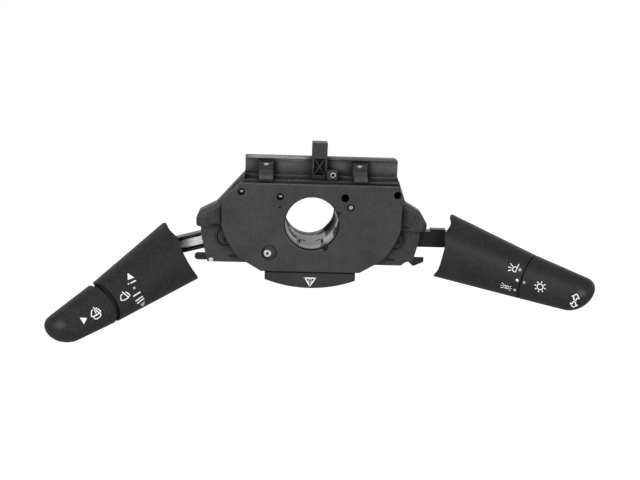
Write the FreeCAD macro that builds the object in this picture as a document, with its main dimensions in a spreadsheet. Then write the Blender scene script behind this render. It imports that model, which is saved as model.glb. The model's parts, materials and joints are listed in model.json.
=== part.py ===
"""Combination stalk switch of a steering column, with two stalks and a hazard button.

Millimetres. The origin is the centre of the column bore in the rear seating face.
+Y runs along the bore away from the driver, +X to the right as the driver looks at
the switch and +Z up. The left stalk works wipers and washer, the right stalk works
indicators and lights. Each stalk sits in a cradle that turns about a trunnion along Y,
and swings towards the driver about a cross pin inside that cradle.
"""
import FreeCAD, Part
import math
import os

import Sketcher
from FreeCAD import Placement, Rotation, Vector

doc = FreeCAD.newDocument("combination_stalk_switch")
sheet = doc.addObject("Spreadsheet::Sheet", "sizes")
nodes = {}
rows = []

LEFT = -1
RIGHT = 1
FRONT = "XZ_Plane"
SIDE = "YZ_Plane"
ALONG_Y = ((1, 0, 0), -90)
ALONG_X = ((0, 1, 0), 90)
ALONG_Z = ((0, 0, 1), 0)


class Size:
    """A number together with the sheet formula that gives it."""

    def __init__(self, number, text):
        self.number = float(number)
        self.text = text

    def __float__(self):
        return self.number

    def __add__(self, other):
        other = sized(other)
        return Size(self.number + other.number, f"({self.text} + {other.text})")

    def __sub__(self, other):
        other = sized(other)
        return Size(self.number - other.number, f"({self.text} - {other.text})")

    def __mul__(self, other):
        other = sized(other)
        return Size(self.number * other.number, f"({self.text} * {other.text})")

    def __truediv__(self, other):
        other = sized(other)
        return Size(self.number / other.number, f"({self.text} / {other.text})")

    def __radd__(self, other):
        return sized(other) + self

    def __rsub__(self, other):
        return sized(other) - self

    def __rmul__(self, other):
        return sized(other) * self

    def __neg__(self):
        return Size(-self.number, f"(0 - {self.text})")


def sized(value):
    """A plain number as a Size; a Size stays as it is."""
    return value if isinstance(value, Size) else Size(value, f"({value})")


def cosine(angle):
    return Size(math.cos(math.radians(float(angle))), f"cos({sized(angle).text})")


def sine(angle):
    return Size(math.sin(math.radians(float(angle))), f"sin({sized(angle).text})")


def size(name, number):
    """Write one driving size on the sheet and give it back."""
    rows.append(name)
    row = len(rows)
    sheet.set(f"A{row}", name)
    sheet.set(f"B{row}", str(number))
    sheet.setAlias(f"B{row}", name)
    sheet.recompute()
    return Size(sheet.get(name), f"sizes.{name}")


class Frame:
    """A placement together with its formula on the sheet."""

    def __init__(self, placement, text):
        self.placement = placement
        self.text = text

    def __mul__(self, other):
        return Frame(self.placement * other.placement, f"{self.text} * {other.text}")


def frame(x=0, y=0, z=0, turn=ALONG_Z):
    """A frame moved to a point and turned about one axis by an angle in degrees."""
    axis, angle = turn
    base = [sized(value) for value in (x, y, z)]
    angle = sized(angle)
    placement = Placement(Vector(*[float(v) for v in base]), Rotation(Vector(*axis), float(angle)))
    point = "; ".join(value.text for value in base)
    direction = "; ".join(str(value) for value in axis)
    return Frame(placement, f"placement(vector({point}); rotation(vector({direction}); {angle.text}))")


# The column, the block round it and the front plate
column_radius = size("column_radius", 20)
bore_length = size("bore_length", 8)
collar_wall = size("collar_wall", 7)
block_depth = size("block_depth", 56)
plate_thickness = size("plate_thickness", 2.5)
tray_depth = size("tray_depth", 8)
core_depth = size("core_depth", 22)
plate_half_width = size("plate_half_width", 68.7)
plate_top = size("plate_top", 30.3)
plate_foot_drop = size("plate_foot_drop", 38.3)
plate_foot_half = size("plate_foot_half", 38)
plate_cheek_out = size("plate_cheek_out", 54.8)
plate_cheek_drop = size("plate_cheek_drop", 28.4)
plate_side_drop = size("plate_side_drop", 3.2)
plate_side_curve = size("plate_side_curve", 60)
left_bevel_out = size("left_bevel_out", 55)
left_bevel_height = size("left_bevel_height", 17.7)
right_bevel_out = size("right_bevel_out", 65.4)
right_bevel_height = size("right_bevel_height", 21)
plate_reveal = size("plate_reveal", 0.8)
plate_hole_gap = size("plate_hole_gap", 0.4)
plate_notch_angle = size("plate_notch_angle", 299)
plate_notch_radius = size("plate_notch_radius", 1.9)
edge_chamfer = size("edge_chamfer", 0.7)
core_half = size("core_half", 39.5)
core_corner = size("core_corner", 2.5)
wall = size("wall", 2)
fit_gap = size("fit_gap", 0.3)
running_gap = size("running_gap", 0.07)
rib_thickness = size("rib_thickness", 2)
shoulder_web = size("shoulder_web", 3)
shoulder_floor = size("shoulder_floor", 2.5)

# What the plate carries: screws, fixing holes, locating pin and earth rivet
outer_fixing_out = size("outer_fixing_out", 64.5)
outer_screw_inset = size("outer_screw_inset", 0.9)
outer_fixing_height = size("outer_fixing_height", 23.7)
inner_fixing_out = size("inner_fixing_out", 24.7)
inner_fixing_height = size("inner_fixing_height", 20.5)
inner_fixing_radius = size("inner_fixing_radius", 3.1)
outer_fixing_radius = size("outer_fixing_radius", 2.9)
recess_radius = size("recess_radius", 2.85)
recess_depth = size("recess_depth", 1.5)
screw_head_radius = size("screw_head_radius", 2.4)
screw_head_height = size("screw_head_height", 0.7)
screw_shank_radius = size("screw_shank_radius", 1.4)
screw_length = size("screw_length", 14)
pin_out = size("pin_out", 29.3)
pin_height = size("pin_height", 13.3)
pin_radius = size("pin_radius", 1.6)
pin_length = size("pin_length", 9)
pin_set_back = size("pin_set_back", 0.3)
witness_height = size("witness_height", 12.2)
witness_radius = size("witness_radius", 0.9)
rivet_recess_out = size("rivet_recess_out", 31.9)
rivet_recess_drop = size("rivet_recess_drop", 23.3)
rivet_recess_radius = size("rivet_recess_radius", 6)
rivet_out = size("rivet_out", 33.2)
rivet_drop = size("rivet_drop", 24.2)
rivet_radius = size("rivet_radius", 2.1)
rivet_eye_radius = size("rivet_eye_radius", 1)
rivet_length = size("rivet_length", 11)
rivet_set_back = size("rivet_set_back", 0.4)
rivet_flange = size("rivet_flange", 0.7)

# Wings that hood the two switch modules
wing_set_back = size("wing_set_back", 7)
hood_drop = size("hood_drop", 4.2)
lip_root_drop = size("lip_root_drop", 3.4)
lip_tip_drop = size("lip_tip_drop", 6)
hood_bevel = size("hood_bevel", 3.3)
hood_tip_height = size("hood_tip_height", -0.2)
wing_top = size("wing_top", 31.5)
left_tip_out = size("left_tip_out", 88.3)
left_brow_out = size("left_brow_out", 85.9)
left_brow_height = size("left_brow_height", 5.6)
left_neck_out = size("left_neck_out", 72.9)
left_neck_height = size("left_neck_height", 12.4)
left_shoulder_height = size("left_shoulder_height", 36.3)
right_tip_out = size("right_tip_out", 89.7)
right_brow_out = size("right_brow_out", 84.3)
right_brow_height = size("right_brow_height", 8.8)
right_neck_out = size("right_neck_out", 72.3)
right_neck_height = size("right_neck_height", 15.8)
right_shoulder_height = size("right_shoulder_height", 32.6)
cell_width = size("cell_width", 8.5)
fixing_boss_wall = size("fixing_boss_wall", 1.8)
fixing_boss_length = size("fixing_boss_length", 8)

# Cancelling ring and pawl
ring_wall = size("ring_wall", 2.2)
ring_set_back = size("ring_set_back", 0.1)
lobe_radius = size("lobe_radius", 26)
lobe_half_width = size("lobe_half_width", 4)
lobe_set_back = size("lobe_set_back", 10)
lobe_depth = size("lobe_depth", 6)
chamber_gap = size("chamber_gap", 1.5)
first_lobe_angle = size("first_lobe_angle", 120)
second_lobe_angle = size("second_lobe_angle", 250)
slot_width = size("slot_width", 2)
slot_set_back = size("slot_set_back", 23)
left_slot_start = size("left_slot_start", 196)
left_slot_end = size("left_slot_end", 238)
right_slot_start = size("right_slot_start", 306)
right_slot_end = size("right_slot_end", 346)
tongue_start_angle = size("tongue_start_angle", 244)
tongue_end_angle = size("tongue_end_angle", 299)
tongue_corner_angle = size("tongue_corner_angle", 14)
tongue_length = size("tongue_length", 23)
tongue_gap = size("tongue_gap", 1)
pawl_travel = size("pawl_travel", 2.5)
pawl_height = size("pawl_height", 5)
pawl_drop = size("pawl_drop", 3.5)
pawl_thickness = size("pawl_thickness", 2.8)
pawl_nose = size("pawl_nose", 3.6)
pawl_clearance = size("pawl_clearance", 0.9)
pawl_tail_gap = size("pawl_tail_gap", 2.2)
pawl_spring_thickness = size("pawl_spring_thickness", 0.4)

# Top rail, its clips, the post and the insert block
rail_left = size("rail_left", 51.8)
rail_right = size("rail_right", 66.3)
rail_height = size("rail_height", 16.8)
rail_depth = size("rail_depth", 6)
rail_front = size("rail_front", 36)
rail_lip = size("rail_lip", 2)
rail_ledge = size("rail_ledge", 2.5)
rail_corner = size("rail_corner", 2.4)
ledge_reach = size("ledge_reach", 2)
clip_width = size("clip_width", 12.2)
clip_height = size("clip_height", 10.5)
left_clip_out = size("left_clip_out", 35.7)
right_clip_out = size("right_clip_out", 36.7)
clip_depth = size("clip_depth", 5)
clip_tongue = size("clip_tongue", 7.4)
clip_bead = size("clip_bead", 1.3)
clip_side = size("clip_side", 1.4)
clip_edge = size("clip_edge", 1.5)
clip_back = size("clip_back", 1.6)
clip_proud = size("clip_proud", 1)
tongue_proud = size("tongue_proud", 1.5)
bead_proud = size("bead_proud", 1.2)
tongue_drop = size("tongue_drop", 3)
post_left = size("post_left", 0.7)
post_width = size("post_width", 11.5)
post_height = size("post_height", 60)
post_depth = size("post_depth", 6)
post_frame = size("post_frame", 1.5)
post_window_low = size("post_window_low", 3.5)
post_window_high = size("post_window_high", 16.5)
post_rib = size("post_rib", 1)
post_seat = size("post_seat", 1)
post_back = size("post_back", 2)
rib_set_in = size("rib_set_in", 1)
rib_overlap = size("rib_overlap", 0.6)
insert_width = size("insert_width", 8)
insert_height = size("insert_height", 7.8)
insert_depth = size("insert_depth", 9)
insert_radius = size("insert_radius", 2.1)
insert_thread_radius = size("insert_thread_radius", 1.25)
insert_length = size("insert_length", 7)
insert_drop = size("insert_drop", 3.3)
insert_shift = size("insert_shift", 0.6)
insert_proud = size("insert_proud", 0.3)

# Hazard button and its switch
hazard_half = size("hazard_half", 35)
hazard_top_gap = size("hazard_top_gap", 0.6)
hazard_side_drop = size("hazard_side_drop", 45)
hazard_sag = size("hazard_sag", 6.5)
hazard_front = size("hazard_front", 55)
hazard_depth = size("hazard_depth", 12)
hazard_travel = size("hazard_travel", 3.5)
hazard_end_gap = size("hazard_end_gap", 0.5)
blade_root = size("blade_root", 4)
bridge_root = size("bridge_root", 1)
spring_end_gap = size("spring_end_gap", 0.2)
hazard_turns = 7
hazard_wall = size("hazard_wall", 2)
stem_half = size("stem_half", 5)
stem_drop = size("stem_drop", 44)
stem_height = size("stem_height", 4.4)
stem_reach = size("stem_reach", 3)
hazard_case_half = size("hazard_case_half", 22)
hazard_case_depth = size("hazard_case_depth", 21)
hazard_case_drop = size("hazard_case_drop", 49.5)
hazard_spring_radius = size("hazard_spring_radius", 1.6)
hazard_socket_half = size("hazard_socket_half", 10)
hazard_socket_depth = size("hazard_socket_depth", 10)

# Switch modules, one each side
case_set_back = size("case_set_back", 9.5)
case_depth = size("case_depth", 19)
case_out = size("case_out", 84.6)
case_top = size("case_top", 3)
case_drop = size("case_drop", 34)
case_toe_out = size("case_toe_out", 79.5)
case_heel_drop = size("case_heel_drop", 12)
corner_cut_out = size("corner_cut_out", 71.2)
corner_cut_width = size("corner_cut_width", 3.6)
corner_cut_height = size("corner_cut_height", 3)
case_wall = size("case_wall", 2)
cover_thickness = size("cover_thickness", 2.5)
pivot_out = size("pivot_out", 65.5)
pivot_drop = size("pivot_drop", 13.8)
boss_radius = size("boss_radius", 7.9)
boss_height = size("boss_height", 1.2)
boss_skin = size("boss_skin", 1)
left_slot_low = size("left_slot_low", 17.7)
left_slot_high = size("left_slot_high", 4.2)
right_slot_low = size("right_slot_low", 9.8)
right_slot_high = size("right_slot_high", 9.6)
slot_side = size("slot_side", 1.5)
groove_inner = size("groove_inner", 6)
groove_outer = size("groove_outer", 7)
socket_inner = size("socket_inner", 48)
socket_width = size("socket_width", 26)
socket_height = size("socket_height", 11.4)
socket_low = size("socket_low", 33.2)
socket_depth = size("socket_depth", 14)
socket_wall = size("socket_wall", 1.5)
blade_count = 5
blade_pitch = size("blade_pitch", 4.2)
blade_width = size("blade_width", 2.2)
blade_thickness = size("blade_thickness", 0.8)
blade_recess = size("blade_recess", 4.4)
track_radius = size("track_radius", 19.9)
notch_radius = size("notch_radius", 1.7)
notch_set_in = size("notch_set_in", 0.6)
track_half_height = size("track_half_height", 9)
track_front = size("track_front", 4.5)
track_rear = size("track_rear", 7)
contact_radius = size("contact_radius", 11.3)
contact_thickness = size("contact_thickness", 0.8)
contact_half_angle = size("contact_half_angle", 35)
contact_width = size("contact_width", 1.5)
contact_pitch = size("contact_pitch", 3.5)
cover_screw_radius = size("cover_screw_radius", 1.2)
cover_boss_radius = size("cover_boss_radius", 2.6)
boss_overlap = size("boss_overlap", 0.5)
screw_skin = size("screw_skin", 2)
cover_head_radius = size("cover_head_radius", 2.2)
cover_head_height = size("cover_head_height", 1.4)
latch_drop = size("latch_drop", 30)
latch_height = size("latch_height", 5.4)
latch_reach = size("latch_reach", 89.7)
hook_reach = size("hook_reach", 88.7)
hook_top_drop = size("hook_top_drop", 27.1)
hook_end_drop = size("hook_end_drop", 30.6)
hook_toe_out = size("hook_toe_out", 80.6)
hook_toe_drop = size("hook_toe_drop", 34.3)
hook_root_out = size("hook_root_out", 77.2)
latch_depth = size("latch_depth", 2.5)
latch_set_back = size("latch_set_back", 0.2)
case_rivet_radius = size("case_rivet_radius", 1.8)
case_rivet_out = size("case_rivet_out", 76.6)
case_rivet_drop = size("case_rivet_drop", 32.2)
case_rivet_height = size("case_rivet_height", 1)

# Cradle, cross pin and arm
cradle_half_length = size("cradle_half_length", 7)
cradle_half_height = size("cradle_half_height", 8.3)
cradle_half_depth = size("cradle_half_depth", 8)
cradle_wall = size("cradle_wall", 2)
cradle_swing_gap = size("cradle_swing_gap", 1.3)
trunnion_radius = size("trunnion_radius", 5)
cross_pin_radius = size("cross_pin_radius", 1.5)
root_half_height = size("root_half_height", 6)
root_half_depth = size("root_half_depth", 4)
root_tail = size("root_tail", 14)
root_nose = size("root_nose", 9)
plunger_radius = size("plunger_radius", 2)
plunger_reach = size("plunger_reach", 19.6)
plunger_tail = size("plunger_tail", 9)
plunger_bore = size("plunger_bore", 10)
spring_wire = size("spring_wire", 0.35)
bar_half_height = size("bar_half_height", 3.2)
bar_half_depth = size("bar_half_depth", 2.5)
bar_end = size("bar_end", 46)
duct_start = size("duct_start", 13)
duct_end = size("duct_end", 40.5)
duct_half_height = size("duct_half_height", 6.3)
duct_flange = size("duct_flange", 2)
duct_front = size("duct_front", 4.5)
duct_back = size("duct_back", 4.5)
duct_nub_length = size("duct_nub_length", 12)
duct_nub_height = size("duct_nub_height", 1.6)
duct_nub_set_in = size("duct_nub_set_in", 1)
tube_radius = size("tube_radius", 3.2)
bridge_half_length = size("bridge_half_length", 4)
bridge_thickness = size("bridge_thickness", 1)
bridge_half_depth = size("bridge_half_depth", 5.5)
left_droop = size("left_droop", 15)
right_droop = size("right_droop", 0)

# Stalk grips
mouth_out = size("mouth_out", 37.5)
mouth_front = size("mouth_front", 4)
mouth_drop = size("mouth_drop", 4.3)
stalk_droop = size("stalk_droop", 14.2)
stalk_lean = size("stalk_lean", 29)
sleeve_length = size("sleeve_length", 70.5)
mouth_half_height = size("mouth_half_height", 25.6)
mouth_half_depth = size("mouth_half_depth", 17.3)
joint_half_height = size("joint_half_height", 17.3)
joint_half_depth = size("joint_half_depth", 14.6)
tip_half_height = size("tip_half_height", 12.7)
tip_half_depth = size("tip_half_depth", 11.2)
tip_round = size("tip_round", 9)
left_joint_rise = size("left_joint_rise", -1.6)
right_joint_rise = size("right_joint_rise", 0.8)
left_tip_rise = size("left_tip_rise", 0)
right_tip_rise = size("right_tip_rise", 3.5)
knob_length = size("knob_length", 50.5)
push_gap = size("push_gap", 3.3)
turn_gap = size("turn_gap", 1)
push_travel = size("push_travel", 3)
grip_wall = size("grip_wall", 2)
ridge_height = size("ridge_height", 2.5)
ridge_angle = size("ridge_angle", 16)
ridge_spread = size("ridge_spread", 0.55)
section_power = size("section_power", 2.35)
section_points = 20
tip_flat = size("tip_flat", 0.15)
mouth_hollow_radius = size("mouth_hollow_radius", 58)
left_mouth_hollow = size("left_mouth_hollow", 6)
right_mouth_hollow = size("right_mouth_hollow", 9)
plug_depth = size("plug_depth", 14)
arm_socket = size("arm_socket", 6)
tube_start_share = size("tube_start_share", 0.6)
plug_web = size("plug_web", 2.5)
plug_web_set_back = size("plug_web_set_back", 2)
neck_radius = size("neck_radius", 11.5)
neck_length = size("neck_length", 5)
neck_pocket_radius = size("neck_pocket_radius", 7)
shaft_radius = size("shaft_radius", 3.2)
stem_clearance = size("stem_clearance", 0.4)
seat_clearance = size("seat_clearance", 0.6)
seat_thickness = size("seat_thickness", 1.5)
shaft_overrun = size("shaft_overrun", 0.5)
switch_height = size("switch_height", 3)
switch_half = size("switch_half", 4.5)
switch_plunger_radius = size("switch_plunger_radius", 1.2)
switch_plunger_height = size("switch_plunger_height", 0.3)
switch_rest_gap = size("switch_rest_gap", 0.6)
rotor_radius = size("rotor_radius", 6.4)
rotor_length = size("rotor_length", 4)
retainer_radius = size("retainer_radius", 4.8)
retainer_thickness = size("retainer_thickness", 0.8)

# How far a cutting block reaches past the faces that it opens
past = 1

# Depths along Y, and the places that several pieces share
outer_screw_out = left_bevel_out - outer_screw_inset
front = -block_depth
plate_rear = front + plate_thickness
tray_rear = front + tray_depth
core_rear = front + core_depth
wing_front = front + wing_set_back
case_front = front + case_set_back
case_rear = case_front + case_depth
cover_rear = case_rear + cover_thickness
pivot_depth = (case_front + case_wall + case_rear) / 2
ring_inner = column_radius + plate_hole_gap + ring_set_back
ring_outer = ring_inner + ring_wall
ring_bore = ring_outer + fit_gap
lobe_front = front + lobe_set_back
chamber_rear = lobe_front + lobe_depth + 1
chamber_radius = lobe_radius + chamber_gap
rail_base = wing_top
rail_top = wing_top + rail_height
rail_rear = rail_depth - rail_front
case_inner = core_half + fit_gap
droop = {LEFT: left_droop, RIGHT: right_droop}
shoulder_slope = {LEFT: 1.4, RIGHT: 0.3}
mouth_hollow = {LEFT: left_mouth_hollow, RIGHT: right_mouth_hollow}
joint_rise = {LEFT: left_joint_rise, RIGHT: right_joint_rise}
tip_rise = {LEFT: left_tip_rise, RIGHT: right_tip_rise}
knob_gap = {LEFT: push_gap, RIGHT: turn_gap}
side_name = {LEFT: "left", RIGHT: "right"}


def bind(thing, name, value):
    thing.setExpression(name, sized(value).text)


def finish(label, thing, place=None):
    """Name a finished sub-part, and place it where its frame says."""
    thing.Label = label
    nodes[label] = thing
    if place is not None:
        thing.setExpression("Placement", place.text)
    return thing


def across(side, low, high):
    """Two limits outward from the column as limits along X on the given side."""
    return (sized(low), sized(high)) if side == RIGHT else (-sized(high), -sized(low))


def block(name, x, y, z):
    """A plain block between two limits on each axis."""
    solid = doc.addObject("Part::Box", name)
    for edge, axis, limits in (("Length", "x", x), ("Width", "y", y), ("Height", "z", z)):
        low, high = limits
        bind(solid, edge, sized(high) - sized(low))
        bind(solid, f"Placement.Base.{axis}", low)
    return solid


def rod(name, turn, x, y, z, radius, length):
    """A round rod that starts at a point and runs along the axis that turn gives."""
    solid = doc.addObject("Part::Cylinder", name)
    bind(solid, "Radius", radius)
    bind(solid, "Height", length)
    solid.setExpression("Placement", frame(x, y, z, turn).text)
    return solid


def fuse(name, *pieces):
    """Several solids as one feature."""
    joined = doc.addObject("Part::MultiFuse", name)
    joined.Shapes = list(pieces)
    return joined


def cut(name, base, *tools):
    """A solid less one or more tools."""
    result = doc.addObject("Part::Cut", name)
    result.Base = base
    result.Tool = tools[0] if len(tools) == 1 else fuse(name + "_tools", *tools)
    return result


def group(name, *pieces):
    """Solids that stay separate but share one node."""
    compound = doc.addObject("Part::Compound", name)
    compound.Links = list(pieces)
    return compound


def mirrored(corners):
    """An outline on the other side, still counter-clockwise."""
    turned = []
    count = len(corners)
    for index in range(count - 1, -1, -1):
        corner = corners[index]
        before = corners[(index - 1) % count]
        turned.append((-sized(corner[0]), corner[1]) + tuple(before[2:]))
    return turned


def on_side(side, corners):
    return corners if side == RIGHT else mirrored(corners)


def box_corners(x, z):
    """The four corners of a rectangle, counter-clockwise."""
    return [(x[0], z[0]), (x[1], z[0]), (x[1], z[1]), (x[0], z[1])]


def arc_between(start, end, radius):
    """The short arc that bulges to the right of the way from start to end."""
    chord = end - start
    left = Vector(-chord.y, chord.x, 0).normalize()
    rise = math.sqrt(radius ** 2 - (chord.Length / 2) ** 2)
    centre = start + chord * 0.5 + left * rise
    first = math.atan2(start.y - centre.y, start.x - centre.x)
    last = math.atan2(end.y - centre.y, end.x - centre.x)
    return Part.ArcOfCircle(Part.Circle(centre, Vector(0, 0, 1), radius), first, last)


def hold(sketch, constraint, value):
    index = sketch.addConstraint(constraint)
    sketch.setExpression(f"Constraints[{index}]", sized(value).text)


def draw_circle(sketch, x, z, radius):
    """A circle held by its centre and radius."""
    centre = Vector(float(x), float(z), 0)
    curve = sketch.addGeometry(Part.Circle(centre, Vector(0, 0, 1), float(radius)))
    hold(sketch, Sketcher.Constraint("DistanceX", -1, 1, curve, 3, centre.x), x)
    hold(sketch, Sketcher.Constraint("DistanceY", -1, 1, curve, 3, centre.y), z)
    hold(sketch, Sketcher.Constraint("Radius", curve, float(radius)), radius)


def draw_outline(sketch, corners):
    """A closed outline; a corner with a third value starts an arc of that radius."""
    points = [Vector(float(corner[0]), float(corner[1]), 0) for corner in corners]
    count = len(points)
    curves = []
    for index, corner in enumerate(corners):
        start = points[index]
        end = points[(index + 1) % count]
        if len(corner) > 2:
            curve = arc_between(start, end, float(corner[2]))
        else:
            curve = Part.LineSegment(start, end)
        curves.append(sketch.addGeometry(curve))
    for index in range(count):
        following = curves[(index + 1) % count]
        sketch.addConstraint(Sketcher.Constraint("Coincident", curves[index], 2, following, 1))
    for index, corner in enumerate(corners):
        curve = curves[index]
        hold(sketch, Sketcher.Constraint("DistanceX", -1, 1, curve, 1, points[index].x), corner[0])
        hold(sketch, Sketcher.Constraint("DistanceY", -1, 1, curve, 1, points[index].y), corner[1])
        if len(corner) > 2:
            hold(sketch, Sketcher.Constraint("Radius", curve, float(corner[2])), corner[2])


def new_body(label, place=None):
    """An empty body that becomes the sub-part of that name."""
    return finish(label, doc.addObject("PartDesign::Body", label), place)


def sketch_at(body, name, loops, depth, plane):
    """A sketch of closed loops on one plane at a depth."""
    origin = [item for item in body.Origin.OriginFeatures if item.Role == plane][0]
    sketch = body.newObject("Sketcher::SketchObject", name + "_sketch")
    sketch.AttachmentSupport = [(origin, "")]
    sketch.MapMode = "FlatFace"
    bind(sketch, "AttachmentOffset.Base.z", -sized(depth) if plane == FRONT else depth)
    for loop in loops:
        if isinstance(loop, tuple):
            draw_circle(sketch, *loop)
        else:
            draw_outline(sketch, loop)
    return sketch


def feature(body, kind, name, loops, start, end, plane):
    """A pad or pocket of closed loops between two planes."""
    sketch = sketch_at(body, name, loops, start, plane)
    made = body.newObject(kind, name)
    made.Profile = sketch
    made.Reversed = (kind == "PartDesign::Pad") == (plane == FRONT)
    bind(made, "Length", sized(end) - sized(start))
    return made


def pad(body, name, loops, start, end, plane=FRONT):
    return feature(body, "PartDesign::Pad", name, loops, start, end, plane)


def pocket(body, name, loops, start, end, plane=FRONT):
    return feature(body, "PartDesign::Pocket", name, loops, start, end, plane)


def sloped_pad(body, name, near, near_depth, far, far_depth):
    """A block whose outline changes straight from one depth to another, like a bevel."""
    sketches = []
    for place, corners, depth in (("near", near, near_depth), ("far", far, far_depth)):
        sketches.append(sketch_at(body, f"{name}_{place}", [corners], depth, FRONT))
    made = body.newObject("PartDesign::AdditiveLoft", name)
    made.Profile = sketches[0]
    made.Sections = [sketches[1]]
    made.Ruled = True
    return made


def soften_edges(body, name, kind, amount, wanted):
    """Round or chamfer every edge of the body's last feature that wanted accepts."""
    doc.recompute()
    tip = body.Tip
    edges = [f"Edge{i + 1}" for i, edge in enumerate(tip.Shape.Edges) if wanted(edge)]
    made = body.newObject("PartDesign::" + kind, name)
    made.Base = (tip, edges)
    bind(made, "Radius" if kind == "Fillet" else "Size", amount)
    return made


def lies_at_depth(depth):
    """A test for edges that lie in the plane at that depth."""
    def test(edge):
        box = edge.BoundBox
        return abs(box.YMin - float(depth)) < 1e-4 and abs(box.YMax - float(depth)) < 1e-4
    return test


def plate_corners(inset):
    """The plate's outline, moved in by a distance."""
    foot = plate_foot_half - inset
    base = inset - plate_foot_drop
    cheek = plate_cheek_out - inset
    cheek_low = inset - plate_cheek_drop
    flank = plate_half_width - inset
    top = plate_top - inset
    return [
        (-foot, base),
        (foot, base),
        (cheek, cheek_low, plate_side_curve),
        (flank, -plate_side_drop),
        (flank, right_bevel_height),
        (right_bevel_out - inset, top),
        (inset - left_bevel_out, top),
        (-flank, left_bevel_height),
        (-flank, -plate_side_drop, plate_side_curve),
        (-cheek, cheek_low),
    ]


def wing_corners(side, bevel, root_drop, tip_drop):
    """One wing from the core out to the tip of the hood, with its slopes moved in by a bevel.

    Each corner moves in along its own mitre, so the bevel is equally wide on all slopes.
    """
    tip_out = {LEFT: left_tip_out, RIGHT: right_tip_out}[side]
    brow_out = {LEFT: left_brow_out, RIGHT: right_brow_out}[side]
    brow_height = {LEFT: left_brow_height, RIGHT: right_brow_height}[side]
    neck_out = {LEFT: left_neck_out, RIGHT: right_neck_out}[side]
    neck_height = {LEFT: left_neck_height, RIGHT: right_neck_height}[side]
    shoulder_out = {LEFT: rail_left, RIGHT: rail_right}[side]
    shoulder_height = {LEFT: left_shoulder_height, RIGHT: right_shoulder_height}[side]
    root = core_half - 1
    return on_side(side, [
        (root, -root_drop),
        (tip_out - 0.4 - bevel, -tip_drop),
        (tip_out - bevel, hood_tip_height),
        (brow_out - 0.75 * bevel, brow_height - 0.7 * bevel),
        (neck_out - 0.7 * bevel, neck_height - 0.75 * bevel),
        (shoulder_out, shoulder_height - shoulder_slope[side] * bevel),
        (shoulder_out, wing_top),
        (root, wing_top),
    ])


def ring_sector(first, last, inner, outer):
    """A wedge of a ring as an outline with chords, from one angle to another."""
    middle = (sized(first) + last) / 2
    angles = [sized(first), middle, sized(last)]
    far = [(outer * cosine(angle), outer * sine(angle)) for angle in angles]
    near = [(inner * cosine(angle), inner * sine(angle)) for angle in reversed(angles)]
    return far + near


def make_carrier():
    """The moulded carrier: tray, core, two hooded wings and the bosses of the fixing holes."""
    body = new_body("carrier_housing")
    foot = plate_foot_half - plate_reveal
    base = plate_reveal - plate_foot_drop
    top = plate_top - plate_reveal
    pad(body, "tray", [plate_corners(plate_reveal)], plate_rear, tray_rear)
    pad(body, "core", [[(-foot, base), (foot, base), (core_half, base + core_corner),
                        (core_half, wing_top), (-core_half, wing_top),
                        (-core_half, base + core_corner)]],
        tray_rear, core_rear)
    for side in (LEFT, RIGHT):
        name = side_name[side]
        bevel_rear = wing_front + hood_bevel
        pad(body, name + "_wing", [wing_corners(side, 0, hood_drop, hood_drop)],
            bevel_rear, core_rear)
        sloped_pad(body, name + "_bevel",
                   wing_corners(side, hood_bevel, lip_root_drop, lip_tip_drop), wing_front,
                   wing_corners(side, 0, lip_root_drop, lip_tip_drop), bevel_rear)
        under_hood = across(side, core_half, case_out + fit_gap)
        pocket(body, name + "_hood", [box_corners(under_hood, (-lip_tip_drop - past, case_top))],
               case_front - fit_gap, core_rear)
        for step in range(2):
            inner = core_half + 1 + step * (cell_width + rib_thickness)
            cell = across(side, inner, inner + cell_width)
            pocket(body, f"{name}_cell_{step}",
                   [box_corners(cell, (case_top + shoulder_web, top - shoulder_floor))],
                   wing_front + shoulder_floor, core_rear)
    fixings = [(inner_fixing_out, inner_fixing_height, inner_fixing_radius),
               (outer_fixing_out, outer_fixing_height, outer_fixing_radius)]
    boss_rear = core_rear + fixing_boss_length
    for number, (x, z, radius) in enumerate(fixings):
        pad(body, f"fixing_boss_{number}", [(x, z, radius + fixing_boss_wall)], core_rear, boss_rear)
    pocket(body, "lobe_chamber", [(0, 0, chamber_radius)], plate_rear, chamber_rear)
    pocket(body, "ring_bore", [(0, 0, ring_bore)], chamber_rear, core_rear)
    pawl_low = -pawl_drop - pawl_height / 2
    pocket(body, "pawl_way",
           [box_corners((ring_bore, core_half), (pawl_low - fit_gap, pawl_low + pawl_height + fit_gap))],
           pawl_front() - fit_gap, pawl_front() + pawl_thickness + fit_gap)
    pocket(body, "fixing_holes", fixings, plate_rear, boss_rear)
    screws = [(-x, z, screw_shank_radius) for x, z in screw_places()]
    pocket(body, "screw_holes", screws, plate_rear, front + recess_depth + screw_length)
    pocket(body, "pin_hole", [(pin_out, pin_height, pin_radius)], plate_rear, front + pin_length)
    pocket(body, "rivet_hole", [(-rivet_out, -rivet_drop, rivet_radius)], plate_rear,
           front + rivet_length)
    return body


def make_collar():
    """The collar on the rear of the carrier that seats on the column."""
    body = new_body("column_collar")
    pad(body, "tube", [(0, 0, column_radius + collar_wall), (0, 0, ring_bore)], core_rear,
        -bore_length)
    pad(body, "seat", [(0, 0, column_radius + collar_wall), (0, 0, column_radius)], -bore_length, 0)
    return body


def screw_places():
    """How far left and how high the plate screws sit."""
    return [(outer_screw_out, outer_fixing_height), (inner_fixing_out, inner_fixing_height)]


def pawl_front():
    """The depth of the pawl's front face, just behind the front wall of the right case."""
    return case_front + case_wall + fit_gap


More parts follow.
